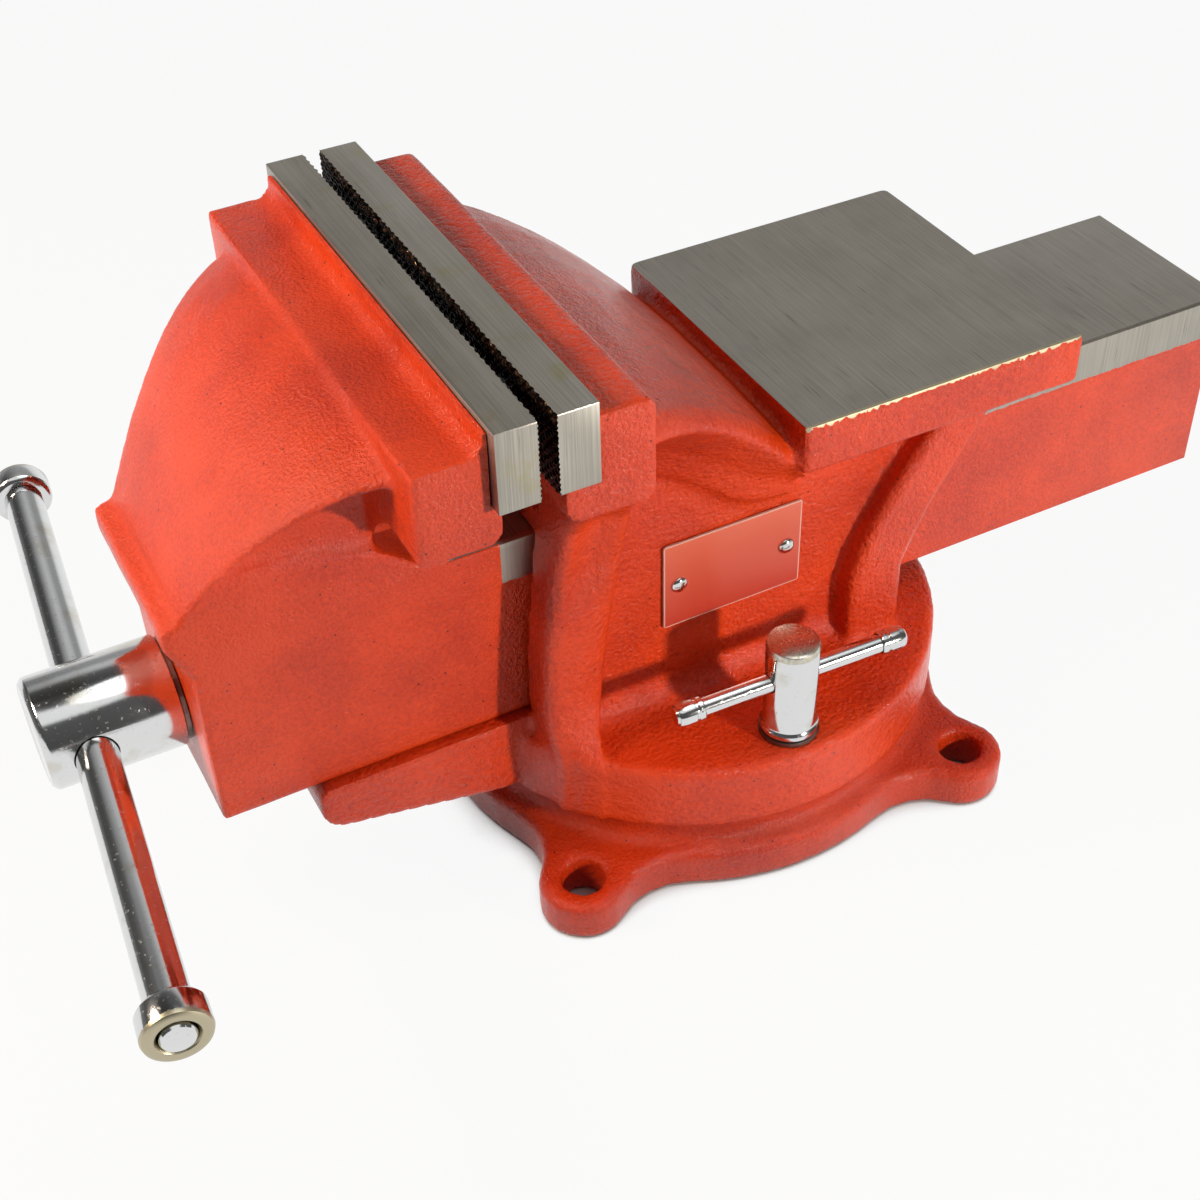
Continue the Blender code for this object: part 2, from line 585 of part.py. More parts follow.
def make_body(paint):
    edge = TURNTABLE_EDGE
    disc = [(0, turntable_bottom), (turntable_radius, turntable_bottom)]
    disc += arc((turntable_radius - edge, turntable_top - edge), edge, 0, math.pi / 2, 3)
    body = turned("fixed_body", disc + [(0, turntable_top)], FINE_STEPS)

    # The walls rise from flared feet and open out again under the anvil
    rise = anvil_bottom + CAST_OVERLAP
    wall = [(body_half, rise), (body_half, turntable_top + foot_flare)]
    foot_centre = (body_half + foot_flare, turntable_top + foot_flare)
    wall += arc(foot_centre, foot_flare, math.pi, math.pi / 2, 5)[1:]
    wall += [(body_half + foot_flare, turntable_top - CAST_OVERLAP)]
    walls = prism("body_walls", mirrored(wall), "X", body_front, RIB_REAR_X - RIB_EDGE)

    # Behind the walls the casting follows the rear rib
    web_outline = [(x - RIB_EDGE, z) for x, z in rib_outline()]
    web = prism("body_web", web_outline, "Y", -body_half, body_half)

    flare_centre = (body_half + ANVIL_FLARE, anvil_bottom - ANVIL_FLARE)
    flare = [(0, anvil_bottom + CAST_OVERLAP), (body_half + ANVIL_FLARE, anvil_bottom + CAST_OVERLAP)]
    flare += arc(flare_centre, ANVIL_FLARE, math.pi / 2, math.pi / 2, 4)
    flare += [(0, anvil_bottom - ANVIL_FLARE)]
    flare_rear = RIB_REAR_X + RIB_SWEEP * 0.5
    anvil_flare = prism("anvil_flare", mirrored(flare), "X", ANVIL_FRONT_X + RIB_EDGE, flare_rear)
    anvil_half = ANVIL_WIDTH / 2
    anvil_rear = ANVIL_FRONT_X + ANVIL_LENGTH
    anvil_low = (ANVIL_FRONT_X, -anvil_half, anvil_bottom)
    anvil = box("anvil", anvil_low, (anvil_rear, anvil_half, anvil_top), ANVIL_EDGE)
    shoulder = loft("shoulder", shoulder_rings())
    join(body, walls, web, anvil_flare, anvil, shoulder)

    for side, place in ((-1, "near"), (1, "far")):
        low, high = sorted((side * (channel_half + RIB_EDGE), side * (body_half + RIB_PROUD)))
        join(body, prism(f"rear_rib_{place}", rib_outline(), "Y", low, high, RIB_EDGE))
        join(body, loft(f"front_column_{place}", column_rings(side)))

    # Jaw tower: a backing for the plate with a ledge under it
    tower_top = jaw_top - FIXED_JAW_DROP
    tower_bottom = tower_top - FIXED_JAW_HEIGHT
    ledge_top = plate_bottom - SEAT_GAP
    ledge_front = fixed_seat_x - FIXED_LEDGE
    tower = rounded(
        [
            (fixed_seat_x, tower_top, 0),
            (fixed_jaw_rear, tower_top, JAW_CORNER * 0.6),
            (fixed_jaw_rear, tower_bottom, JAW_CORNER * 0.6),
            (ledge_front, tower_bottom, JAW_CORNER),
            (ledge_front, ledge_top, JAW_CORNER * 0.2),
            (fixed_seat_x, ledge_top, 0),
        ]
    )
    tower_half = FIXED_JAW_WIDTH / 2
    join(body, prism("jaw_tower", tower, "Y", -tower_half, tower_half - FIXED_FAR_TRIM))

    # Tongue that carries the slide in front of the body
    low = turntable_bottom + OVERRUN
    tongue = rounded(
        [
            (tongue_front_x, channel_floor, TONGUE_ROUND * 0.5),
            (tongue_front_x, channel_floor - TONGUE_FRONT_HEIGHT, TONGUE_ROUND),
            (-turntable_radius, low, TONGUE_ROUND),
            (0, low, 0),
            (0, channel_floor, 0),
        ]
    )
    join(body, prism("tongue", tongue, "Y", -TONGUE_WIDTH / 2, TONGUE_WIDTH / 2, PLATE_EDGE))

    # The slide runs through the casting
    channel_low = (tongue_front_x - OVERRUN, -channel_half, channel_floor)
    channel_high = (anvil_rear + OVERRUN, channel_half, slide_top + RUNNING_GAP)
    cut(body, box("channel", channel_low, channel_high))

    # Underside: a ring-shaped recess leaves the pivot boss and a bearing land
    land = turntable_radius - TURNTABLE_LAND
    recess = [(PIVOT_BOSS_RADIUS, turntable_bottom - OVERRUN), (land, turntable_bottom - OVERRUN)]
    recess += [(land, recess_roof), (PIVOT_BOSS_RADIUS, recess_roof)]
    cut(body, turned("turntable_recess", recess, HIDDEN_STEPS))
    socket_top = BASE_HEIGHT + PIVOT_HEIGHT + SEAT_GAP
    socket_radius = PIVOT_RADIUS + RUNNING_GAP
    cut(body, rod("pivot_socket", socket_radius, turntable_bottom - OVERRUN, socket_top))

    bolt_hole = NUT_BOLT_RADIUS + RUNNING_GAP
    under_nut = (nut_bolt_x, 0, 0)
    hole_low, hole_high = turntable_bottom, channel_floor + OVERRUN
    cut(body, rod("nut_bolt_hole", bolt_hole, hole_low, hole_high, centre=under_nut))
    for index, place in enumerate(lock_places):
        hole_low, hole_high = turntable_bottom - OVERRUN, turntable_top + OVERRUN
        cut(body, rod(f"stud_hole_{index}", STUD_RADIUS + RUNNING_GAP, hole_low, hole_high, centre=place))
    screw_end = FIXED_FACE_X + PLATE_SCREW_SUNK + PLATE_SCREW_LENGTH + RUNNING_GAP
    for index, side in enumerate((-1, 1)):
        centre = (0, side * PLATE_SCREW_SPACING / 2, plate_screw_z)
        radius = PLATE_SCREW_RADIUS + RUNNING_GAP
        low = fixed_seat_x - OVERRUN
        cut(body, rod(f"fixed_screw_hole_{index}", radius, low, screw_end, (1, 0, 0), centre))
    for index, centre in enumerate(rivet_places()):
        radius = RIVET_SHANK_RADIUS + RUNNING_GAP
        low, high = -OVERRUN, RIVET_SHANK_LENGTH + RUNNING_GAP
        seat = (centre[0], -body_half, centre[1])
        cut(body, rod(f"rivet_hole_{index}", radius, low, high, (0, 1, 0), seat, steps=SMALL_STEPS))
    body.data.materials.append(paint)
    return body


# Moving jaw: jaw block, hood, nose and hollow slide bar in one casting
def hood_rings():
    # The hood falls from the block to the nose and narrows to the width of the slide. Its
    # edges overhang, and curve in below to flanks just inside the slide's sides.
    top = jaw_top - SHELF_DROP - HOOD_DROP
    nose_half = SLIDE_WIDTH / 2
    spread = HOOD_WIDTH / 2 - nose_half
    fall = top - slide_top - HOOD_NOSE_RISE
    inner = nose_half - FLANK_INSET
    foot = slide_top - SLIDE_ROOF / 2
    rings = []
    for step in range(13):
        share = step / 12
        half = nose_half + spread * (1 - share**1.35)
        ridge = top - fall * share**2
        crown = HOOD_CROWN * (1 - share * 0.55)
        overhang = half - inner
        under = ridge - HOOD_EDGE * 1.2
        section = [
            (0, ridge + crown),
            (half * 0.3, ridge + crown * 0.93),
            (half * 0.6, ridge + crown * 0.7),
            (half * 0.82, ridge + crown * 0.38),
            (half - HOOD_EDGE, ridge),
            (half - HOOD_EDGE * 0.3, ridge - HOOD_EDGE * 0.4),
            (half, under),
            (inner + overhang * 0.5, under - overhang * 0.2),
            (inner + overhang * 0.15, under - overhang * 0.45),
            (inner, under - overhang * 0.8),
            (inner, foot),
            (0, foot),
        ]
        along = block_front + CAST_OVERLAP - (HOOD_RUN + CAST_OVERLAP) * share
        rings.append([in_space(p, "X", along) for p in mirrored(section)])
    return rings


def cheek_outline():
    # The smooth side of the slide rises under the hood, highest near the nose.
    run = ledge_end - nose_x
    # (share of the way from the nose to the ledge, share of the cheek's height)
    rise_shares = [
        (0.05, 0.62),
        (0.14, 0.98),
        (0.23, 1.00),
        (0.46, 0.88),
        (0.72, 0.62),
        (0.88, 0.15),
        (1.00, 0.07),
    ]
    low = slide_top - SLIDE_ROOF
    curve = [(nose_x + run * a, slide_top + FLANK_HEIGHT * b) for a, b in rise_shares]
    return [(ledge_end, low), (nose_wall_rear - CAST_OVERLAP, low), (nose_x + SLIDE_EDGE, low)] + curve


def slide_section():
    half = SLIDE_WIDTH / 2
    inner = half - SLIDE_WALL
    low = half - BAND_PROUD
    return mirrored(
        [
            (half - SLIDE_EDGE, slide_top),
            (half, slide_top - SLIDE_EDGE),
            (half, slide_top - SLIDE_BAND),
            (low, slide_top - SLIDE_BAND - BAND_PROUD),
            (low, slide_bottom + SLIDE_EDGE),
            (low - SLIDE_EDGE, slide_bottom),
            (inner, slide_bottom),
            (inner, slide_top - SLIDE_ROOF - SLIDE_WALL / 2),
            (inner - SLIDE_WALL / 2, slide_top - SLIDE_ROOF),
        ]
    )


def make_moving_jaw(paint):
    jaw = prism("moving_jaw", slide_section(), "X", nose_x, slide_rear)
    half = SLIDE_WIDTH / 2
    low_half = half - BAND_PROUD
    shelf_z = jaw_top - SHELF_DROP
    block_bottom = shelf_z - MOVING_BLOCK_HEIGHT
    ledge_top = plate_bottom - SEAT_GAP
    wall_top = jaw_top - BACKING_DROP

    # Nose wall that carries the screw, and the solid web under the hood
    wall_low = (nose_x, -low_half, slide_bottom)
    nose_top = slide_top + LIP_TOP_RISE
    join(jaw, box("nose_wall", wall_low, (nose_wall_rear, low_half, nose_top), SLIDE_EDGE))
    join(jaw, prism("cheeks", cheek_outline(), "Y", -low_half, low_half))
    join(jaw, loft("hood", hood_rings()))

    lip = rounded(
        [
            (nose_x + CAST_OVERLAP, nose_top + OVERRUN, 0),
            (nose_x - LIP_DEPTH, nose_top, LIP_DEPTH * 0.3),
            (nose_x - LIP_DEPTH, nose_top - LIP_FACE, LIP_DEPTH * 0.6),
            (nose_x, nose_top - LIP_HEIGHT, LIP_DEPTH * 0.4),
            (nose_x + CAST_OVERLAP, nose_top - LIP_HEIGHT, 0),
        ]
    )
    join(jaw, prism("nose_lip", lip, "Y", -half, half, PLATE_EDGE))

    block = rounded(
        [
            (block_front, shelf_z, JAW_CORNER * 0.2),
            (block_front, block_bottom, JAW_CORNER * 0.4),
            (ledge_end, block_bottom, JAW_CORNER),
            (ledge_end, ledge_top, JAW_CORNER * 0.3),
            (moving_seat_x, ledge_top, 0),
            (moving_seat_x, shelf_z, 0),
        ]
    )
    block_half = MOVING_BLOCK_WIDTH / 2
    join(jaw, prism("jaw_block", block, "Y", -block_half, block_half))

    # Backing wall of the plate, with a fillet down to the shelf
    fillet_centre = (backing_front - SHELF_FILLET, shelf_z + SHELF_FILLET)
    backing = [(moving_seat_x, ledge_top), (moving_seat_x, wall_top), (backing_front, wall_top)]
    backing += arc(fillet_centre, SHELF_FILLET, 0, -math.pi / 2, 5)
    backing += [(backing_front - SHELF_FILLET, shelf_z - OVERRUN), (backing_front, ledge_top)]
    join(jaw, prism("plate_backing", backing, "Y", -block_half, block_half))

    # Gussets that carry the ends of the block on the slide
    gusset_top = block_bottom + CAST_OVERLAP
    gusset_half = half + GUSSET_REACH
    # (share of the reach, share of the height) along the hollow curve down to the slide
    hollow_shares = [(0.62, 0.16), (0.34, 0.42), (0.14, 0.72), (0.03, 1.00)]
    curve = [(half + GUSSET_REACH * a, block_bottom - GUSSET_HEIGHT * b) for a, b in hollow_shares]
    gusset = mirrored([(gusset_half, gusset_top), (gusset_half, block_bottom - PLATE_EDGE)] + curve)
    gusset_front = block_front + FLANK_INSET
    join(jaw, prism("gussets", gusset, "X", gusset_front, ledge_end - JAW_CORNER * 0.5))

    bore = SCREW_RADIUS + RUNNING_GAP
    centre = (0, 0, screw_z)
    cut(jaw, rod("screw_bore", bore, nose_x - OVERRUN, nose_wall_rear + OVERRUN, (1, 0, 0), centre))
    screw_end = moving_face_x - PLATE_SCREW_SUNK - PLATE_SCREW_LENGTH - RUNNING_GAP
    for index, side in enumerate((-1, 1)):
        centre = (0, side * PLATE_SCREW_SPACING / 2, plate_screw_z)
        radius = PLATE_SCREW_RADIUS + RUNNING_GAP
        high = moving_seat_x + OVERRUN
        cut(jaw, rod(f"moving_screw_hole_{index}", radius, screw_end, high, (1, 0, 0), centre))
    jaw.data.materials.append(paint)
    return jaw


# Jaw plates and their countersunk screws
def make_plate(name, face_x, facing, steel):
    back_x = face_x - facing * PLATE_THICKNESS
    low_x, high_x = sorted((face_x, back_x))
    half = JAW_WIDTH / 2
    plate = box(name, (low_x, -half, plate_bottom), (high_x, half, jaw_top), PLATE_EDGE)
    for index, side in enumerate((-1, 1)):
        centre = (face_x, side * PLATE_SCREW_SPACING / 2, plate_screw_z)
        head = PLATE_SCREW_HEAD_RADIUS + RUNNING_GAP
        shank = PLATE_SCREW_RADIUS + RUNNING_GAP
        mouth = PLATE_SCREW_SUNK + RUNNING_GAP
        seat = mouth + head - shank
        through = PLATE_THICKNESS + OVERRUN
        sink = [(0, -OVERRUN), (head, -OVERRUN), (head, mouth)]
        sink += [(shank, seat), (shank, through), (0, through)]
        cut(plate, turned(f"{name}_sink_{index}", sink, axis=(-facing, 0, 0), centre=centre))
    plate.data.materials.append(steel)
    return plate


def make_plate_screw(name, face_x, facing, side, steel):
    head_drop = PLATE_SCREW_HEAD_RADIUS - PLATE_SCREW_RADIUS
    top = PLATE_SCREW_SUNK
    profile = [
        (0, top),
        (PLATE_SCREW_HEAD_RADIUS, top),
        (PLATE_SCREW_RADIUS, top + head_drop),
        (PLATE_SCREW_RADIUS, top + PLATE_SCREW_LENGTH),
        (0, top + PLATE_SCREW_LENGTH),
    ]
    centre = (face_x, side * PLATE_SCREW_SPACING / 2, plate_screw_z)
    screw = turned(name, profile, axis=(-facing, 0, 0), centre=centre)
    socket_depth = top + head_drop
    socket_radius = PLATE_SCREW_RADIUS * 0.7
    inward = (-facing, 0, 0)
    cut(screw, rod(f"{name}_socket", socket_radius, -OVERRUN, socket_depth, inward, centre, steps=6))
    screw.data.materials.append(steel)
    return screw


# Lead screw, thrust washer, retaining collar with its pin, and the nut in the body
def make_screw(steel):
    edge = SCREW_HEAD_EDGE
    profile = [
        (0, head_front),
        (SCREW_HEAD_RADIUS - edge, head_front),
        (SCREW_HEAD_RADIUS, head_front + edge),
        (SCREW_HEAD_RADIUS, head_rear - edge / 2),
        (SCREW_HEAD_RADIUS - edge / 2, head_rear),
        (SCREW_RADIUS, head_rear),
        (SCREW_RADIUS, screw_tip - SCREW_POINT),
        (SCREW_RADIUS - SCREW_POINT, screw_tip),
        (0, screw_tip),
    ]
    screw = turned("lead_screw", profile, BRIGHT_STEPS, (1, 0, 0), (0, 0, screw_z))
    reach = SCREW_HEAD_RADIUS + OVERRUN
    hole_radius = HANDLE_RADIUS + RUNNING_GAP
    cut(screw, rod("handle_hole", hole_radius, -reach, reach, handle_along, handle_centre))
    pin_hole = COLLAR_PIN_RADIUS + RUNNING_GAP
    centre = (collar_centre_x(), 0, screw_z)
    cut(screw, rod("screw_pin_hole", pin_hole, -reach, reach, centre=centre, steps=SMALL_STEPS))
    screw.data.materials.append(steel)
    return screw


def collar_centre_x():
    return nose_wall_rear + SEAT_GAP + COLLAR_LENGTH / 2


def ring(name, inner, outer, low, high, axis, centre):
    profile = [(inner, low), (outer, low), (outer, high), (inner, high)]
    return turned(name, profile, axis=axis, centre=centre)


def make_screw_fittings(steel, dark_steel):
    centre = (0, 0, screw_z)
    bore = SCREW_RADIUS + RUNNING_GAP
    low = head_rear + SEAT_GAP
    washer_end = low + THRUST_WASHER_THICKNESS
    washer = ring("thrust_washer", bore, THRUST_WASHER_RADIUS, low, washer_end, (1, 0, 0), centre)
    washer.data.materials.append(dark_steel)
    low = collar_centre_x() - COLLAR_LENGTH / 2
    high = low + COLLAR_LENGTH
    collar = ring("retaining_collar", bore, COLLAR_RADIUS, low, high, (1, 0, 0), centre)
    pin_centre = (collar_centre_x(), 0, screw_z)
    pin_hole = COLLAR_PIN_RADIUS + RUNNING_GAP
    reach = COLLAR_RADIUS + OVERRUN
    cut(collar, rod("collar_pin_hole", pin_hole, -reach, reach, centre=pin_centre, steps=SMALL_STEPS))
    collar.data.materials.append(dark_steel)
    half = COLLAR_RADIUS
    pin = rod("collar_pin", COLLAR_PIN_RADIUS, -half, half, centre=pin_centre, steps=SMALL_STEPS)
    pin.data.materials.append(steel)
    return [washer, collar, pin]


def make_nut(iron, steel):
    half = NUT_WIDTH / 2
    foot_z = channel_floor + SEAT_GAP
    outline = [(half, foot_z)] + arc((0, screw_z), half, 0, math.pi, 14) + [(-half, foot_z)]
    nut = prism("lead_nut", outline, "X", NUT_FRONT_X, NUT_FRONT_X + NUT_LENGTH)
    foot_low = (NUT_FRONT_X, -half, foot_z)
    foot_high = (NUT_FRONT_X + NUT_FOOT_LENGTH, half, foot_z + NUT_FOOT_HEIGHT)
    join(nut, box("nut_foot", foot_low, foot_high))
    bore = SCREW_RADIUS + RUNNING_GAP
    low, high = NUT_FRONT_X - OVERRUN, NUT_FRONT_X + NUT_LENGTH + OVERRUN
    cut(nut, rod("nut_bore", bore, low, high, (1, 0, 0), (0, 0, screw_z)))
    centre = (nut_bolt_x, 0, 0)
    hole = NUT_BOLT_RADIUS + RUNNING_GAP
    bolt_top = foot_z + NUT_BOLT_DEPTH
    cut(nut, rod("nut_bolt_seat", hole, foot_z - OVERRUN, bolt_top + SEAT_GAP, centre=centre))
    nut.data.materials.append(iron)

    head_top = recess_roof - SEAT_GAP
    head_bottom = head_top - NUT_BOLT_HEAD_HEIGHT
    bolt = rod("nut_bolt", NUT_BOLT_HEAD_RADIUS, head_bottom, head_top, centre=centre, steps=6)
    shank = rod("nut_bolt_shank", NUT_BOLT_RADIUS, head_top - OVERRUN, bolt_top, centre=centre)
    join(bolt, shank)
    bolt.data.materials.append(steel)
    return [nut, bolt]


# Handle: a bar that slides through the screw head, with a riveted cap on each end
def make_handle(chrome):
    half = HANDLE_LENGTH / 2
    inner = half - CAP_LENGTH
    end_edge = HANDLE_RADIUS - RIVETED_END_RADIUS
    neck = [(RIVETED_END_RADIUS, inner), (RIVETED_END_RADIUS, half - end_edge)]
    upper = [(HANDLE_RADIUS, inner)] + neck + [(RIVETED_END_RADIUS - end_edge, half), (0, half)]
    lower = [(radius, -along) for radius, along in reversed(upper)]
    bar = turned("screw_handle", lower + upper, BRIGHT_STEPS, handle_along, handle_centre)
    bar.data.materials.append(chrome)
    pieces = [bar]
    for name, way in (("handle_cap_lower", -1), ("handle_cap_upper", 1)):
        bore = RIVETED_END_RADIUS + SEAT_GAP
        start = inner + SEAT_GAP
        dish = half - end_edge
        profile = [
            (bore, start),
            (CAP_RADIUS - CAP_EDGE, start),
            (CAP_RADIUS, start + CAP_EDGE),
            (CAP_RADIUS, dish - CAP_EDGE),
            (CAP_RADIUS - CAP_EDGE, dish),
            (bore, dish),
        ]
        cap = turned(name, profile, BRIGHT_STEPS, handle_along * way, handle_centre)
        cap.data.materials.append(chrome)
        pieces.append(cap)
    return pieces


# Swivel locks: a T-headed stud, washer, barrel nut and tommy bar on each side
def make_lock(place, bar_turn, name, chrome, steel):
    around = place.normalized()
    across = Vector((-around.y, around.x, 0))
    head_low = UNDERSIDE_RELIEF + SLOT_FLOOR + RUNNING_GAP
    head_high = head_low + STUD_HEAD_HEIGHT
    half = STUD_HEAD_SIDE / 2
    signs = ((-1, -1), (1, -1), (1, 1), (-1, 1))
    corners = [(place + around * a * half + across * b * half).to_2d() for a, b in signs]
    stud = prism(f"lock_stud_{name}", corners, "Z", head_low, head_high)
    stud_top = lock_nut_bottom + STUD_ENGAGEMENT
    join(stud, rod(f"stud_shank_{name}", STUD_RADIUS, head_high - OVERRUN, stud_top, centre=place))
    stud.data.materials.append(steel)

    bore = STUD_RADIUS + RUNNING_GAP
    low = turntable_top + SEAT_GAP
    washer = ring(f"lock_washer_{name}", bore, LOCK_WASHER_RADIUS, low, washer_top, (0, 0, 1), place)
    washer.data.materials.append(steel)

    foot_top = lock_nut_bottom + LOCK_NUT_FOOT_HEIGHT
    top = lock_nut_bottom + LOCK_NUT_HEIGHT
    profile = [
        (0, lock_nut_bottom),
        (LOCK_NUT_FOOT_RADIUS, lock_nut_bottom),
        (LOCK_NUT_FOOT_RADIUS, foot_top),
        (LOCK_NUT_RADIUS, foot_top),
        (LOCK_NUT_RADIUS, top - LOCK_NUT_EDGE),
        (LOCK_NUT_RADIUS - LOCK_NUT_EDGE, top),
        (0, top),
    ]
    nut = turned(f"lock_nut_{name}", profile, BRIGHT_STEPS, centre=place)
    bar_along = (math.cos(bar_turn), math.sin(bar_turn), 0)
    bar_centre = place + Vector((0, 0, lock_nut_bottom + LOCK_BAR_HEIGHT))
    hole = LOCK_BAR_RADIUS + RUNNING_GAP
    reach = LOCK_NUT_RADIUS + OVERRUN
    cut(nut, rod(f"bar_hole_{name}", hole, -reach, reach, bar_along, bar_centre, steps=SMALL_STEPS))
    low, high = lock_nut_bottom - OVERRUN, stud_top + SEAT_GAP
    cut(nut, rod(f"nut_thread_{name}", bore, low, high, centre=place, steps=SMALL_STEPS))
    nut.data.materials.append(chrome)

    half_bar = LOCK_BAR_LENGTH / 2
    edge = LOCK_BAR_RADIUS * 0.2
    bar = rod(f"lock_bar_{name}", LOCK_BAR_RADIUS, -half_bar, half_bar, bar_along, bar_centre, edge)
    bar.data.materials.append(chrome)
    pieces = [stud, washer, nut, bar]
    for index, way in enumerate((-1, 1)):
        inner = LOCK_BAR_RADIUS + COLLAR_WALL_GAP
        start = half_bar - LOCK_COLLAR_LENGTH
        stop = half_bar - edge
        along = Vector(bar_along) * way
        title = f"lock_bar_collar_{name}_{index}"
        collar = ring(title, inner, LOCK_COLLAR_RADIUS, start, stop, along, bar_centre)
        collar.data.materials.append(chrome)
        pieces.append(collar)
    return pieces


# Nameplate and its two drive rivets
def rivet_places():
    x = NAMEPLATE_LENGTH / 2 - RIVET_INSET
    return [(NAMEPLATE_CENTRE_X - x, nameplate_z), (NAMEPLATE_CENTRE_X + x, nameplate_z)]


def make_nameplate(printed, chrome):
    back = -(body_half + SEAT_GAP)
    front = back - NAMEPLATE_THICKNESS
    half_length, half_height = NAMEPLATE_LENGTH / 2, NAMEPLATE_HEIGHT / 2
    low = (NAMEPLATE_CENTRE_X - half_length, front, nameplate_z - half_height)
    high = (NAMEPLATE_CENTRE_X + half_length, back, nameplate_z + half_height)
    plate = box("nameplate", low, high)
    plate.data.materials.append(printed)
    pieces = [plate]
    for index, (x, z) in enumerate(rivet_places()):
        centre = (x, front - SEAT_GAP, z)
        hole = RIVET_SHANK_RADIUS + RUNNING_GAP
        reach = NAMEPLATE_THICKNESS + OVERRUN
        cut(plate, rod(f"plate_hole_{index}", hole, -OVERRUN, reach, (0, 1, 0), centre, steps=SMALL_STEPS))
        radius, height = RIVET_HEAD_RADIUS, RIVET_HEAD_HEIGHT
        shank, length = RIVET_SHANK_RADIUS, RIVET_SHANK_LENGTH
        profile = [(0, -height), (radius * 0.5, -height * 0.9), (radius * 0.85, -height * 0.5)]
        profile += [(radius, 0), (shank, 0), (shank, length), (0, length)]
        rivet = turned(f"nameplate_rivet_{index}", profile, axis=(0, 1, 0), centre=centre)
        rivet.data.materials.append(chrome)
        pieces.append(rivet)
    return pieces


def carry(name, origin, pieces, parent=None):
    # Groups the pieces of one moving body under an empty on that body's joint axis.
    holder = bpy.data.objects.new(name, None)
    bpy.context.collection.objects.link(holder)
    holder.location = origin
    holder.parent = parent
    bpy.context.view_layer.update()
    if parent:
        holder.matrix_world = Matrix.Translation(origin)
        bpy.context.view_layer.update()
    for piece in pieces:
        piece.parent = holder
        piece.matrix_parent_inverse = holder.matrix_world.inverted()
    return holder


def build():
    clear_scene()
    enamel = material("red_enamel", (0.62, 0.05, 0.02), 0.35, 0.0)
    ground = material("ground_steel", (0.30, 0.29, 0.26), 0.35, 1.0)
    chrome = material("chrome_plate", (0.72, 0.72, 0.70), 0.12, 1.0)
    plain = material("plain_steel", (0.35, 0.34, 0.33), 0.40, 1.0)
    iron = material("cast_iron", (0.12, 0.12, 0.12), 0.60, 1.0)
    printed = material("printed_plate", (0.75, 0.10, 0.03), 0.30, 0.2)

    base = make_base(enamel)
    body = [make_body(enamel), make_plate("fixed_jaw_plate", FIXED_FACE_X, -1, ground)]
    jaw = [make_moving_jaw(enamel), make_plate("moving_jaw_plate", moving_face_x, 1, ground)]
    for index, side in enumerate((-1, 1)):
        body.append(make_plate_screw(f"fixed_plate_screw_{index}", FIXED_FACE_X, -1, side, plain))
        jaw.append(make_plate_screw(f"moving_plate_screw_{index}", moving_face_x, 1, side, plain))
    body += make_nut(iron, plain)
    body += make_nameplate(printed, chrome)

    turntable = carry("turntable_axis", (0, 0, BASE_HEIGHT), body)
    locks = zip(lock_places, lock_bar_turns, ("near", "far"))
    for place, bar_turn, name in locks:
        stud, washer, nut, *bar = make_lock(place, bar_turn, name, chrome, plain)
        carry(f"stud_holder_{name}", place, [stud, washer], turntable)
        turner = carry(f"lock_nut_axis_{name}", place, [nut], turntable)
        carry(f"lock_bar_axis_{name}", place, bar, turner)
    slide = carry("jaw_slide_axis", (nose_x, 0, screw_z), jaw, turntable)
    screw = carry("screw_axis", (head_rear, 0, screw_z), [make_screw(chrome)], slide)
    carry("screw_fittings", (head_rear, 0, screw_z), make_screw_fittings(plain, iron), screw)
    carry("handle_axis", handle_centre, make_handle(chrome), screw)
    return base


build()
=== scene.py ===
import bpy
import bmesh
from math import cos, pi, radians, sin, tau
from mathutils import Matrix, Vector, noise


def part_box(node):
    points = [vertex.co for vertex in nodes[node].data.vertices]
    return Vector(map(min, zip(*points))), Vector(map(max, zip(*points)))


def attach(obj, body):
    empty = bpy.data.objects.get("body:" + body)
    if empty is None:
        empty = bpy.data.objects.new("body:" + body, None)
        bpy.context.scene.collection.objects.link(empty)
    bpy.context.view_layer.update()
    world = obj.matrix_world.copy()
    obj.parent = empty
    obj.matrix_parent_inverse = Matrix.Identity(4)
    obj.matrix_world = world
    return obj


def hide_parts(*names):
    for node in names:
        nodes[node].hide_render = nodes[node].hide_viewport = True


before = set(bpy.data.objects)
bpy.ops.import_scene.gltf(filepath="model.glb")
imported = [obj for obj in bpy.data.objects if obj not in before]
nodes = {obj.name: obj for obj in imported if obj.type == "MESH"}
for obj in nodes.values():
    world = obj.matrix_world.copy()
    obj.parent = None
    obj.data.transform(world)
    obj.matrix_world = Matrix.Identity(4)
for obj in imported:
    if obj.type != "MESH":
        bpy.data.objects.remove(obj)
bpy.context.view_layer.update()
print("frame loaded:", len(nodes), "nodes")


# ---- small helpers

def linearColour(hexText):
    # an sRGB hex value turned to the linear colour that the shaders want
    channels = [int(hexText[i:i + 2], 16) / 255 for i in (1, 3, 5)]
    linear = [c / 12.92 if c <= 0.04045 else ((c + 0.055) / 1.055) ** 2.4 for c in channels]
    return (*linear, 1)


def perMetre(grainMm):
    # the texture scale whose grains are this many millimetres across
    return 1000 / grainMm


def join(tree, node, sources):
    # feeds a node's inputs; a node given in place of an output means its first output
    for key, source in sources.items():
        tree.links.new(getattr(source, "outputs", [source])[0], node.inputs[key])


def addNode(tree, kind, values=None, sources=None, **options):
    node = tree.nodes.new("ShaderNode" + kind)
    for key, value in options.items():
        setattr(node, key, value)
    for key, value in (values or {}).items():
        node.inputs[key].default_value = value
    join(tree, node, sources or {})
    return node


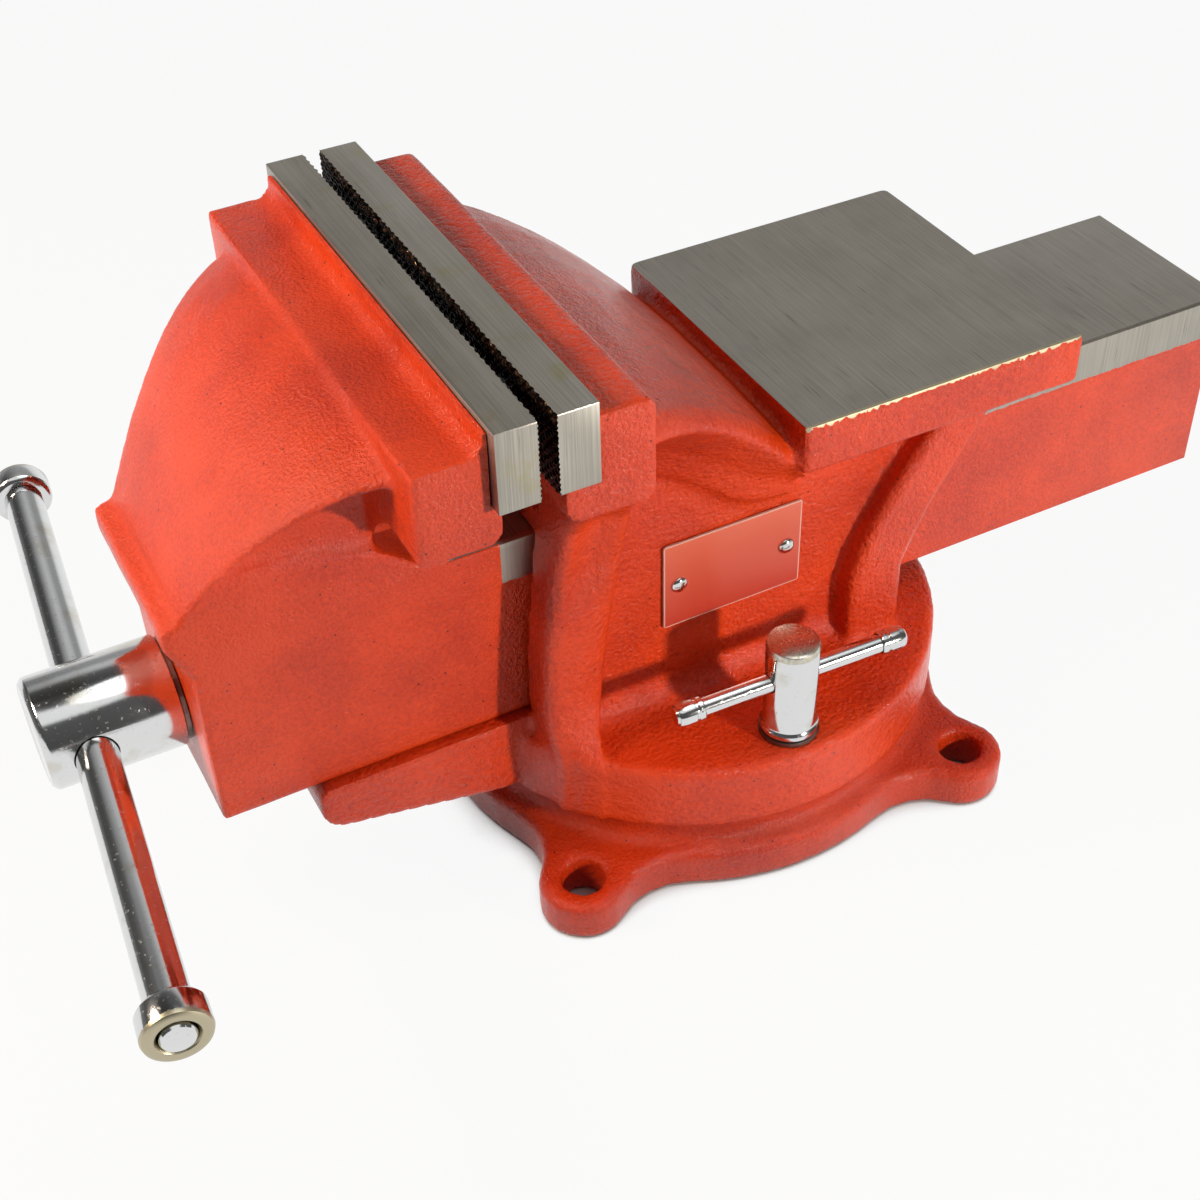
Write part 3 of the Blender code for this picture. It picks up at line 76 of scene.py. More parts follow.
def startMaterial(name, constants):
    # a material and its Principled shader, with the values that are the same all over set on it
    made = bpy.data.materials.new(name)
    made.use_nodes = True
    tree = made.node_tree
    shader = tree.nodes["Principled BSDF"]
    for key, value in constants.items():
        shader.inputs[key].default_value = value
    where = addNode(tree, "TexCoord")
    return made, tree, shader, where


# ---- materials

groundLook = {
    "light": "#B7B1A6",
    "dark": "#A09B90",
    "scored": "#67635B",
    "lineMm": 0.32,       # wheel marks, a little coarser than real ones so that they show
    "lineLengthMm": 30,
    "scratchMm": 0.9,
    "scratchLengthMm": 16,
    "cloudMm": 16,
    "roughness": 0.38,
}


def groundMarks(tree, where):
    # Surface-ground iron and steel: fine parallel wheel marks, along Y on the flats and upright on
    # the sides, with a few stray scratches and a faint oil film. Gives colour, roughness and height.
    look = groundLook
    place = where.outputs["Object"]
    fine, along = perMetre(look["lineMm"]), perMetre(look["lineLengthMm"])
    flatMap = addNode(tree, "Mapping", {"Scale": (fine, along, fine), "Rotation": (0, 0, 0.05)},
                      {"Vector": place})
    sideMap = addNode(tree, "Mapping", {"Scale": (fine, fine, along), "Rotation": (0, 0.06, 0)},
                      {"Vector": place})
    flatLines = addNode(tree, "TexNoise", {"Scale": 1.0, "Detail": 4.0}, {"Vector": flatMap})
    sideLines = addNode(tree, "TexNoise", {"Scale": 1.0, "Detail": 4.0}, {"Vector": sideMap})
    normal = addNode(tree, "SeparateXYZ", None, {0: where.outputs["Normal"]})
    steep = addNode(tree, "Math", None, {0: normal.outputs["Y"]}, operation="ABSOLUTE")
    isSide = addNode(tree, "Math", {1: 0.7}, {0: steep}, operation="GREATER_THAN")
    lines = addNode(tree, "Mix", None, {0: isSide, 2: flatLines, 3: sideLines})
    cloud = addNode(tree, "TexNoise", {"Scale": perMetre(look["cloudMm"]), "Detail": 3.0}, {"Vector": place})
    both = addNode(tree, "Math", {1: 0.35}, {0: cloud, 2: lines}, operation="MULTIPLY_ADD")
    share = addNode(tree, "MapRange", {"From Min": 0.50, "From Max": 0.85}, {"Value": both})
    colour = addNode(tree, "Mix", {6: linearColour(look["dark"]), 7: linearColour(look["light"])},
                     {0: share}, data_type="RGBA")
    thin, long = perMetre(look["scratchMm"]), perMetre(look["scratchLengthMm"])
    stray = addNode(tree, "Mapping", {"Rotation": (0.3, 0.4, 0.45), "Scale": (thin, long, long)},
                    {"Vector": place})
    scratch = addNode(tree, "TexNoise", {"Scale": 1.0, "Detail": 1.0}, {"Vector": stray})
    scored = addNode(tree, "MapRange", {"From Min": 0.70, "From Max": 0.76, "To Max": 0.4},
                     {"Value": scratch})
    marked = addNode(tree, "Mix", {7: linearColour(look["scored"])}, {0: scored, 6: colour.outputs[2]},
                     data_type="RGBA")
    rough = addNode(tree, "MapRange", {"To Min": look["roughness"] - 0.05,
                                       "To Max": look["roughness"] + 0.09}, {"Value": lines})
    return marked.outputs[2], rough, lines


gripLook = {
    "grimeAndGapShade": "#120E0C",   # grime packed into the teeth, and painted shade of the narrow gap between the plates, with rust and a few bright specks that are painted glints
    "rusty": "#5A3B29",
    "paintedGlint": "#B7A284",
    "oilStain": "#A39A66",
    "speckMm": 0.9,
    "stainMm": 9,
    "gapMiddle": -0.0784, # of the two plates at rest, along X
    "gapHalf": 0.0022,
    "teethReach": 0.0034, # how far from there a leaning face still belongs to a tooth
}


def surfaceGroundSteel(name):
    # Hardened tool steel finished on a surface grinder: mid grey with a directional satin sheen, a
    # few yellow oil stains, and grip teeth that are black with grime and with painted shade of the narrow
    # gap between the plates, flecked with rust and with bright specks that are painted glints.
    look = gripLook
    made, tree, shader, where = startMaterial(name, {"Metallic": 1.0})
    place = where.outputs["Object"]
    colour, rough, height = groundMarks(tree, where)
    stain = addNode(tree, "TexNoise", {"Scale": perMetre(look["stainMm"]), "Detail": 5.0}, {"Vector": place})
    stained = addNode(tree, "MapRange", {"From Min": 0.58, "From Max": 0.72, "To Max": 0.45},
                      {"Value": stain})
    oily = addNode(tree, "Mix", {7: linearColour(look["oilStain"])}, {0: stained, 6: colour},
                   data_type="RGBA")
    speck = addNode(tree, "TexNoise", {"Scale": perMetre(look["speckMm"]), "Detail": 2.0}, {"Vector": place})
    rusted = addNode(tree, "MapRange", {"From Min": 0.52, "From Max": 0.70}, {"Value": speck})
    # the bright specks are painted glints
    bright = addNode(tree, "MapRange", {"From Min": 0.69, "From Max": 0.73}, {"Value": speck})
    grimeRustAndGapShade = addNode(tree, "Mix", {6: linearColour(look["grimeAndGapShade"]), 7: linearColour(look["rusty"])},
                   {0: rusted}, data_type="RGBA")
    fleckedWithPaintedGlints = addNode(tree, "Mix", {7: linearColour(look["paintedGlint"])}, {0: bright, 6: grimeRustAndGapShade.outputs[2]},
                      data_type="RGBA")
    spot = addNode(tree, "SeparateXYZ", None, {0: place})
    # the plates' rims along the gap at rest are painted dark: painted shade of the narrow gap
    fromMiddle = addNode(tree, "Math", {1: look["gapMiddle"]}, {0: spot.outputs["X"]}, operation="SUBTRACT")
    away = addNode(tree, "Math", None, {0: fromMiddle}, operation="ABSOLUTE")
    ragged = addNode(tree, "MapRange", {"From Min": 0.3, "From Max": 0.7, "To Min": look["gapHalf"] - 0.0002,
                                        "To Max": look["gapHalf"] + 0.0005}, {"Value": speck})
    gapShadeRim = addNode(tree, "Math", None, {0: away, 1: ragged}, operation="LESS_THAN")
    # leaning tooth faces near the grip face are dark too: grime in the teeth and painted shade of the gap
    inReach = addNode(tree, "Math", {1: look["teethReach"]}, {0: away}, operation="LESS_THAN")
    facing = addNode(tree, "SeparateXYZ", None, {0: where.outputs["Normal"]})
    leaning = addNode(tree, "Math", None, {0: facing.outputs["X"]}, operation="ABSOLUTE")
    isTooth = addNode(tree, "Math", {1: 0.2}, {0: leaning}, operation="GREATER_THAN")
    onTooth = addNode(tree, "Math", None, {0: isTooth, 1: inReach}, operation="MULTIPLY")
    teethAndGapShade = addNode(tree, "Math", None, {0: gapShadeRim, 1: onTooth}, operation="MAXIMUM")
    final = addNode(tree, "Mix", None, {0: teethAndGapShade, 6: oily.outputs[2], 7: fleckedWithPaintedGlints.outputs[2]},
                    data_type="RGBA")
    finalRough = addNode(tree, "Mix", {3: 0.55}, {0: teethAndGapShade, 2: rough})
    bump = addNode(tree, "Bump", {"Strength": 0.6, "Distance": 0.00002}, {"Height": height})
    join(tree, shader, {"Base Color": final.outputs[2], "Roughness": finalRough, "Normal": bump})
    return made


enamelLook = {
    "paintedLightOnJaw": ("#BF310E", "#E64511"),     # the deepest and the brightest patches of the coat, in its lightest copy, painted light on the jaw
    "paintedMidOnBody": ("#BC300E", "#E24310"),
    "paintedShadeOnBase": ("#AA290C", "#CF3A0E"),    # the darkest copy of the same coat, painted shade on the base
    # dark specks: painted shade of small pits in the casting, which the mesh and the bump don't have
    "pitShade": "#35100A",
    "bareIron": "#C2B697",
    "peelMm": 4.2,        # orange peel of the sprayed coat
    "patchMm": 34,
    "pitMm": 5.0,
    "chipMm": 2.4,
    "roughness": 0.19,
    "slope": 0.00062,     # height of the bumps for each millimetre of grain
}


def enamelOnSandCastIron(name, shades, grainMm, bareRule=None):
    # Alkyd enamel sprayed on unfilled sand-cast grey iron: glossy, but the sand's grain and the peel
    # of the coat break each highlight into small glints. grainMm is the size of that sand's grains,
    # and bareRule says where the iron is machined and where the paint is chipped.
    look = enamelLook
    made, tree, shader, where = startMaterial(name, {"IOR": 1.41})
    place = where.outputs["Object"]
    grain = addNode(tree, "TexNoise", {"Scale": perMetre(grainMm), "Detail": 3.0, "Roughness": 0.6},
                    {"Vector": place})
    peel = addNode(tree, "TexNoise", {"Scale": perMetre(look["peelMm"]), "Detail": 1.0}, {"Vector": place})
    patch = addNode(tree, "TexNoise", {"Scale": perMetre(look["patchMm"]), "Detail": 3.0}, {"Vector": place})
    pits = addNode(tree, "TexVoronoi", {"Scale": perMetre(look["pitMm"])}, {"Vector": place})
    # the pits' shade is painted as dark specks
    paintedPitShade = addNode(tree, "MapRange", {"From Min": 0.04, "From Max": 0.08, "To Min": 0.9, "To Max": 0.0},
                     {"Value": pits})
    # the coat is darker in the grain's hollows, painted shade, and varies at random over larger patches
    mottleAndGrainShade = addNode(tree, "Math", {1: 0.7}, {0: grain, 2: patch}, operation="MULTIPLY_ADD")
    tone = addNode(tree, "MapRange", {"From Min": 0.58, "From Max": 1.00}, {"Value": mottleAndGrainShade})
    # each casting gets its own lighter or darker copy of the one coat: painted light and shade
    deep, bright = look[shades]
    coat = addNode(tree, "Mix", {6: linearColour(deep), 7: linearColour(bright)}, {0: tone},
                   data_type="RGBA")
    paint = addNode(tree, "Mix", {7: linearColour(look["pitShade"])}, {0: paintedPitShade, 6: coat.outputs[2]},
                    data_type="RGBA")
    skin = addNode(tree, "Math", {1: 0.5}, {0: peel, 2: grain}, operation="MULTIPLY_ADD")
    gloss = addNode(tree, "MapRange", {"To Min": look["roughness"] - 0.09,
                                       "To Max": look["roughness"] + 0.09}, {"Value": peel})
    bump = addNode(tree, "Bump", {"Strength": 1.0, "Distance": look["slope"] * grainMm}, {"Height": skin})
    if not bareRule:
        join(tree, shader, {"Base Color": paint.outputs[2], "Roughness": gloss, "Normal": bump})
        return made
    chips = addNode(tree, "TexNoise", {"Scale": perMetre(look["chipMm"]), "Detail": 3.0}, {"Vector": place})
    spot = addNode(tree, "SeparateXYZ", None, {0: place})
    machined, chipped = bareRule(tree, spot, chips)
    steel, steelRough, steelHeight = groundMarks(tree, where)
    bare, metal = machined, steel
    if chipped:
        broken = addNode(tree, "Mix", {7: linearColour(look["bareIron"])}, {0: chipped, 6: steel},
                         data_type="RGBA")
        bare = addNode(tree, "Math", None, {0: machined, 1: chipped}, operation="MAXIMUM")
        metal = broken.outputs[2]
    colour = addNode(tree, "Mix", None, {0: bare, 6: paint.outputs[2], 7: metal}, data_type="RGBA")
    rough = addNode(tree, "Mix", None, {0: bare, 2: gloss, 3: steelRough})
    steelBump = addNode(tree, "Bump", {"Strength": 0.5, "Distance": 0.00002}, {"Height": steelHeight})
    normal = addNode(tree, "Mix", None, {0: bare, 4: bump, 5: steelBump}, data_type="VECTOR")
    join(tree, shader, {"Base Color": colour.outputs[2], "Metallic": bare, "Roughness": rough,
                        "Normal": normal.outputs[1]})
    return made


chromeLook = {
    "clean": "#DCDDDD",
    "stain": "#B3A67F",
    "tarnish": "#BDB49A",
    "scratchMm": 0.45,
    "grazeMm": 1.1,       # short grazes from handling
    "stainMm": 14,
    "roughness": 0.13,
}


def decorativeChrome(name, wornRule=None):
    # Thin bright chromium over nickel on turned mild steel: a cool mirror, slightly satin from fine
    # scratches and grazes, with yellowish stains where the plating is thin. wornRule says where it
    # is worn through to dull brown.
    look = chromeLook
    made, tree, shader, where = startMaterial(name, {"Metallic": 1.0})
    place = where.outputs["Object"]
    bend = addNode(tree, "Mapping", {"Rotation": (0.5, 0.9, 0.3), "Scale": (1, 0.06, 1)}, {"Vector": place})
    scratch = addNode(tree, "TexNoise", {"Scale": perMetre(look["scratchMm"]), "Detail": 2.0},
                      {"Vector": bend})
    graze = addNode(tree, "TexNoise", {"Scale": perMetre(look["grazeMm"]), "Detail": 4.0}, {"Vector": place})
    grazed = addNode(tree, "MapRange", {"From Min": 0.60, "From Max": 0.68}, {"Value": graze})
    stain = addNode(tree, "TexNoise", {"Scale": perMetre(look["stainMm"]), "Detail": 4.0}, {"Vector": place})
    stained = addNode(tree, "MapRange", {"From Min": 0.55, "From Max": 0.75, "To Max": 0.6},
                      {"Value": stain})
    colour = addNode(tree, "Mix", {6: linearColour(look["clean"]), 7: linearColour(look["stain"])},
                     {0: stained}, data_type="RGBA")
    rough = addNode(tree, "MapRange", {"To Min": look["roughness"], "To Max": look["roughness"] + 0.16},
                    {"Value": grazed})
    height = addNode(tree, "Math", {1: 0.35}, {0: scratch, 2: graze}, operation="MULTIPLY_ADD")
    bump = addNode(tree, "Bump", {"Strength": 0.35, "Distance": 0.00002}, {"Height": height})
    final, finalRough = colour.outputs[2], rough
    if wornRule:
        worn = wornRule(tree, place, graze)
        browned = addNode(tree, "Mix", {7: linearColour(look["tarnish"])}, {0: worn, 6: final},
                          data_type="RGBA")
        dulled = addNode(tree, "Mix", {3: 0.34}, {0: worn, 2: finalRough})
        final, finalRough = browned.outputs[2], dulled
    join(tree, shader, {"Base Color": final, "Roughness": finalRough, "Normal": bump})
    return made


turnedLook = {
    "oiledTurnedSteel": {"light": "#8C8880", "dark": "#5F5A52", "roughness": 0.30, "cloudMm": 9},
    "oiledMildSteel": {"light": "#918D86", "dark": "#615D57", "roughness": 0.34, "cloudMm": 9},
    "blackedSteelScrew": {"light": "#4A4744", "dark": "#262422", "roughness": 0.42, "cloudMm": 5},
    "machinedGreyIron": {"light": "#6E6B66", "dark": "#44413D", "roughness": 0.50, "cloudMm": 6},
}


def turnedMetal(name):
    # Bare metal as it leaves the lathe or the heat treatment, with a thin uneven film of oil.
    look = turnedLook[name]
    made, tree, shader, where = startMaterial(name, {"Metallic": 1.0})
    cloud = addNode(tree, "TexNoise", {"Scale": perMetre(look["cloudMm"]), "Detail": 5.0},
                    {"Vector": where.outputs["Object"]})
    share = addNode(tree, "MapRange", {"From Min": 0.35, "From Max": 0.65}, {"Value": cloud})
    colour = addNode(tree, "Mix", {6: linearColour(look["dark"]), 7: linearColour(look["light"])},
                     {0: share}, data_type="RGBA")
    rough = addNode(tree, "MapRange", {"To Min": look["roughness"] + 0.1,
                                       "To Max": look["roughness"] - 0.05}, {"Value": share})
    bump = addNode(tree, "Bump", {"Strength": 0.3, "Distance": 0.00003}, {"Height": cloud})
    join(tree, shader, {"Base Color": colour.outputs[2], "Roughness": rough, "Normal": bump})
    return made


# ---- building helpers

def profileRing(points, steps):
    # Spins a half profile of (along, radius) points about the local Z axis into a closed turned blank.
    bm = bmesh.new()
    corners = [bm.verts.new((radius, 0, along)) for along, radius in points]
    edges = [bm.edges.new(pair) for pair in zip(corners, corners[1:])]
    bmesh.ops.spin(bm, geom=corners + edges, axis=(0, 0, 1), cent=(0, 0, 0), angle=tau, steps=steps,
                   use_merge=True)
    bmesh.ops.remove_doubles(bm, verts=bm.verts, dist=0.000005)
    bmesh.ops.recalc_face_normals(bm, faces=bm.faces)
    return bm


def turnedAlike(upperEnd, steps):
    # a bar whose two ends are alike, from the half profile of its upper end
    return profileRing([(-along, radius) for along, radius in reversed(upperEnd)] + upperEnd, steps)


def drill(start, end, radius, steps):
    return profileRing([(start, 0), (start, radius), (end, radius), (end, 0)], steps)


def roundEdges(bm, edges, width, segments):
    bmesh.ops.bevel(bm, geom=edges, offset=width, offset_type="OFFSET", segments=segments, profile=0.5,
                    affect="EDGES", clamp_overlap=True, material=-1)


def easeEdges(bm, width, segments=2, sharperThan=28):
    # a small even round on every edge that a file or a tumbler would touch
    sharp = [e for e in bm.edges if len(e.link_faces) == 2 and e.calc_face_angle(0) > radians(sharperThan)]
    roundEdges(bm, sharp, width, segments)


def aim(bm, centre, along):
    # Turns a blank made about local Z so that it lies along a direction through a centre.
    turn = Vector((0, 0, 1)).rotation_difference(Vector(along)).to_matrix().to_4x4()
    bmesh.ops.transform(bm, matrix=Matrix.Translation(centre) @ turn, verts=bm.verts)


def plainObject(name, bm):
    mesh = bpy.data.meshes.new(name)
    bm.to_mesh(mesh)
    bm.free()
    made = bpy.data.objects.new(name, mesh)
    bpy.context.scene.collection.objects.link(made)
    return made


def modified(bm, name, setUp):
    # Runs one modifier on a mesh and returns the result as a new bmesh.
    blank = plainObject(name, bm)
    setUp(blank)
    graph = bpy.context.evaluated_depsgraph_get()
    result = bmesh.new()
    result.from_mesh(blank.evaluated_get(graph).to_mesh())
    bpy.data.objects.remove(blank)
    return result


def cutOut(bm, cutter):
    # Takes the cutter's shape out of a piece.
    tool = plainObject("cutter", cutter)

    def setUp(blank):
        boolean = blank.modifiers.new("Cut", "BOOLEAN")
        boolean.solver = "EXACT"
        boolean.operation = "DIFFERENCE"
        boolean.object = tool

    result = modified(bm, "blank", setUp)
    bpy.data.objects.remove(tool)
    return result


def finishPiece(name, bm, body, slot, material, *replaced):
    made = plainObject(name, bm)
    made.data.shade_smooth()
    made.data.set_sharp_from_angle(angle=radians(32))
    made.data.materials.append(material)
    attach(made, body)
    if replaced:
        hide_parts(*replaced)
    print("piece", name, len(made.data.polygons), "faces")


# ---- castings

castingLook = {
    "bodyVoxelMm": 1.15,
    "jawVoxelMm": 1.0,
    "baseVoxelMm": 1.1,
    "quickVoxelMm": 2.2,
    "wavesMm": 13,
    "waveHeightMm": 0.18,
    "machiningMm": 1.5,   # iron left on for milling
    "seatRoomMm": 0.3,    # between a casting's seat and its plate
}


def castingCopy(node):
    bm = bmesh.new()
    bm.from_mesh(nodes[node].data)
    bmesh.ops.remove_doubles(bm, verts=bm.verts, dist=0.00002)
    return bm


def sandMould(bm, voxelMm):
    # An even skin of small faces, which a mould's soft corners can be worked into.
    size = voxelMm / 1000

    def setUp(blank):
        skin = blank.modifiers.new("Skin", "REMESH")
        skin.mode = "VOXEL"
        skin.voxel_size = size

    return modified(bm, "mould", setUp)


def smoothOnce(bm, picked):
    bmesh.ops.smooth_vert(bm, verts=picked, factor=0.5, use_axis_x=True, use_axis_y=True, use_axis_z=True)


def fillCorners(bm, turns, within):
    # Sand can't hold a sharp inside corner: only the hollow edges are smoothed, so fillets grow there.
    near = [v for v in bm.verts if within(v.co)]
    for turn in range(turns):
        smoothOnce(bm, [v for v in near if any(e.calc_face_angle_signed(0) < -0.1 for e in v.link_edges)])


def evenOut(bm, turns, within):
    picked = [v for v in bm.verts if within(v.co)]
    for turn in range(turns):
        smoothOnce(bm, picked)


def roughSkin(bm, isCast):
    # the slight unevenness of a sand mould, left out on machined faces
    look = castingLook
    bm.normal_update()
    for v in bm.verts:
        if isCast(v.co):
            lift = noise.noise(v.co * perMetre(look["wavesMm"])) * look["waveHeightMm"] / 1000
            v.co += v.normal * lift


def keepInside(bm, node):
    low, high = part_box(node)
    for v in bm.verts:
        for axis in range(3):
            v.co[axis] = min(max(v.co[axis], low[axis]), high[axis])


def addToSeat(bm, seat, above, way):
    # Thickens a jaw plate's backing with iron that millSeat takes off again, so that its edges stay crisp.
    for v in bm.verts:
        if abs(v.co.x - seat) < 0.00003 and v.co.z > above:
            v.co.x += way * 2 * castingLook["machiningMm"] / 1000


def millSeat(bm, seat, above, way):
    for v in bm.verts:
        if v.co.z > above and (v.co.x - seat) * way > 0:
            v.co.x = seat
    bmesh.ops.dissolve_degenerate(bm, dist=0.00002, edges=bm.edges[:])


def cutAtPlane(bm, geometry, place, facing, keepInner=True):
    # Cuts all or some of a mesh off at a plane, and closes the cut.
    cut = bmesh.ops.bisect_plane(bm, geom=geometry, dist=0.000001, plane_co=place, plane_no=facing,
                                 clear_outer=keepInner, clear_inner=not keepInner)
    rim = [e for e in cut["geom_cut"] if isinstance(e, bmesh.types.BMEdge)]
    bmesh.ops.holes_fill(bm, edges=rim, sides=0)


def machineFlat(bm, place, facing, within):
    # Mills the skin off down to a plane, inside one region.
    picked = [f for f in bm.faces if within(f.calc_center_median())]
    geometry = set(picked)
    for f in picked:
        geometry.update(f.edges)
        geometry.update(f.verts)
    cutAtPlane(bm, list(geometry), place, facing)


bodyLook = {
    "grainMm": 1.35,
    "anvilTop": 0.1373,
    "liftFrom": 0.005,        # along X, where the iron for the anvil's milling begins,
    "cutFrom": 0.006,         # where the cutter comes down,
    "groundFrom": 0.008,      # and where the ground face shows
    "liftAbove": 0.136,
    "cutAbove": 0.128,
    "nearEdge": -0.0492,
    "chipDepth": 0.0014,
    "channelHalf": 0.0330,    # the slide's channel is machined and keeps its size
    "channelFloor": 0.0480,
    "channelTop": 0.1200,
}


def bodyBare(tree, spot, chips):
    # Ground anvil top, and a ragged bright line below its near edge where the wheel broke the paint.
    look = bodyLook
    anvilTop = look["anvilTop"]
    top = addNode(tree, "Math", {1: anvilTop - 0.00012}, {0: spot.outputs["Z"]}, operation="GREATER_THAN")
    onAnvil = addNode(tree, "Math", {1: look["groundFrom"]}, {0: spot.outputs["X"]},
                      operation="GREATER_THAN")
    machined = addNode(tree, "Math", None, {0: top, 1: onAnvil}, operation="MULTIPLY")
    drop = addNode(tree, "MapRange", {"From Min": 0.3, "From Max": 0.7, "To Min": anvilTop + 0.0002,
                                      "To Max": anvilTop - look["chipDepth"]}, {"Value": chips})
    above = addNode(tree, "Math", None, {0: spot.outputs["Z"], 1: drop}, operation="GREATER_THAN")
    nearEdge = addNode(tree, "Math", {1: look["nearEdge"]}, {0: spot.outputs["Y"]}, operation="LESS_THAN")
    edge = addNode(tree, "Math", None, {0: above, 1: nearEdge}, operation="MULTIPLY")
    chipped = addNode(tree, "Math", None, {0: edge, 1: onAnvil}, operation="MULTIPLY")
    return machined, chipped


jawLook = {
    "grainMm": 0.95,
    "castTo": -0.0885,        # the sand-cast skin ends here, and the machined slide begins
    "hoodTo": -0.1135,
    "hoodFoot": 0.104,
    "hoodHalf": 0.074,
    "cutAt": -0.055,          # the visible skin is in two pieces, cut inside the body's channel
    "spareLength": 0.006,     # the front piece is made this much too long and cut square, so that
                              # no groove shows at the joint
    "slideTop": 0.1164,
    "slideHalf": 0.0290,
    "paintToOnSides": -0.0738,
    "paintToOnTop": -0.0882,
    "paintLine": (0.1021, 0.1036),
}


def jawBare(tree, spot, chips):
    # Ground top and side bands of the slide, with a ragged line where the paint begins. The paint
    # reaches further back on the sides than on the top.
    look = jawLook
    lowest, highest = look["paintLine"]
    top = addNode(tree, "Math", {1: look["slideTop"]}, {0: spot.outputs["Z"]}, operation="GREATER_THAN")
    start = addNode(tree, "MapRange", {"To Min": look["paintToOnSides"], "To Max": look["paintToOnTop"]},
                    {"Value": top})
    behind = addNode(tree, "Math", None, {0: spot.outputs["X"], 1: start}, operation="GREATER_THAN")
    line = addNode(tree, "MapRange", {"To Min": lowest, "To Max": highest}, {"Value": chips})
    above = addNode(tree, "Math", None, {0: spot.outputs["Z"], 1: line}, operation="GREATER_THAN")
    side = addNode(tree, "Math", None, {0: spot.outputs["Y"]}, operation="ABSOLUTE")
    outside = addNode(tree, "Math", {1: look["slideHalf"]}, {0: side}, operation="GREATER_THAN")
    skin = addNode(tree, "Math", None, {0: outside, 1: top}, operation="MAXIMUM")
    band = addNode(tree, "Math", None, {0: above, 1: skin}, operation="MULTIPLY")
    machined = addNode(tree, "Math", None, {0: band, 1: behind}, operation="MULTIPLY")
    return machined, None


def makeBody():
    look = bodyLook
    anvilTop = look["anvilTop"]
    plateLow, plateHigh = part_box("fixed_jaw_plate")
    seat, above = plateHigh.x + castingLook["seatRoomMm"] / 1000, plateLow.z

    def outsideChannel(p):
        return abs(p.y) > look["channelHalf"] or p.z > look["channelTop"] or p.z < look["channelFloor"]

    def onAnvil(p):
        return p.x > look["liftFrom"] and p.z > look["liftAbove"]

    bm = castingCopy("fixed_body")
    for v in bm.verts:
        if abs(v.co.z - anvilTop) < 0.00002 and v.co.x > look["liftFrom"]:
            v.co.z += castingLook["machiningMm"] / 1000
    addToSeat(bm, seat, above, -1)
    bm = sandMould(bm, castingLook["bodyVoxelMm"])
    fillCorners(bm, 5, outsideChannel)
    evenOut(bm, 1, outsideChannel)
    roughSkin(bm, lambda p: outsideChannel(p) and not onAnvil(p))
    machineFlat(bm, (0, 0, anvilTop), (0, 0, 1),
                lambda p: p.x > look["cutFrom"] and p.z > look["cutAbove"])
    millSeat(bm, seat, above, -1)
    keepInside(bm, "fixed_body")
    material = enamelOnSandCastIron("enamelOnBodyCasting", "paintedMidOnBody", look["grainMm"], bodyBare)
    finishPiece("bodyCasting", bm, "turntable", "red_enamel", material, "fixed_body")


def halfOfJaw(keepFront, cutAt):
    bm = castingCopy("moving_jaw")
    cutAtPlane(bm, bm.verts[:] + bm.edges[:] + bm.faces[:], (cutAt, 0, 0), (1, 0, 0), keepFront)
    bmesh.ops.recalc_face_normals(bm, faces=bm.faces)
    return bm


def makeJaw():
    look = jawLook
    cutAt = look["cutAt"]
    plateLow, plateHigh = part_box("moving_jaw_plate")
    seat, above = plateLow.x - castingLook["seatRoomMm"] / 1000, plateLow.z

    def isCast(p):
        return p.x < look["castTo"]

    def onHood(p):
        return p.x < look["hoodTo"] and p.z > look["hoodFoot"] and abs(p.y) < look["hoodHalf"]

    material = enamelOnSandCastIron("enamelOnJawCasting", "paintedLightOnJaw", look["grainMm"], jawBare)
    bm = halfOfJaw(True, cutAt + look["spareLength"])
    addToSeat(bm, seat, above, 1)
    bm = sandMould(bm, castingLook["jawVoxelMm"])
    fillCorners(bm, 6, isCast)
    evenOut(bm, 4, onHood)
    evenOut(bm, 1, isCast)
    roughSkin(bm, isCast)
    millSeat(bm, seat, above, 1)
    machineFlat(bm, (cutAt, 0, 0), (1, 0, 0), lambda p: p.x > cutAt - look["spareLength"] / 2)
    keepInside(bm, "moving_jaw")
    finishPiece("jawCasting", bm, "jaw_carriage", "red_enamel", material, "moving_jaw")

    bm = halfOfJaw(False, cutAt)
    easeEdges(bm, 0.0006, 2, 40)
    finishPiece("jawSlideBar", bm, "jaw_carriage", "red_enamel", material, "moving_jaw")


baseLook = {
    "grainMm": 1.0,
    "turnedRadius": 0.0780,   # inside it the T-slot ring is turned and keeps its size
    "footHeight": 0.001,
}


def makeBase():
    look = baseLook

    def outsideRing(p):
        return p.xy.length > look["turnedRadius"]

    bm = sandMould(castingCopy("swivel_base"), castingLook["baseVoxelMm"])
    fillCorners(bm, 7, outsideRing)
    evenOut(bm, 2, outsideRing)
    roughSkin(bm, lambda p: outsideRing(p) and p.z > look["footHeight"])
    keepInside(bm, "swivel_base")
    # the base gets the coat's darkest copy, painted shade
    material = enamelOnSandCastIron("enamelOnBaseCasting", "paintedShadeOnBase", look["grainMm"])
    finishPiece("baseCasting", bm, "base", "red_enamel", material, "swivel_base")


makeBody()
makeJaw()
makeBase()
print("castings done")


# ---- jaw plates

plateLook = {
    "pitchMm": 2.1,       # diamond serrations, cut crossways and torn at their edges
    "grooveMm": 0.55,
    "flatMm": 0.75,
    "tornMm": 0.38,
    "tearSeed": 1,        # the torn edges come out the same on every run
    "edgeMm": 0.35,
    "screwHeadMm": 7.3,
    "screwHoleMm": 4.1,
    "screwSunkMm": 1.1,
    "screwSide": 0.045,
    "screwHeight": 0.1727,
}


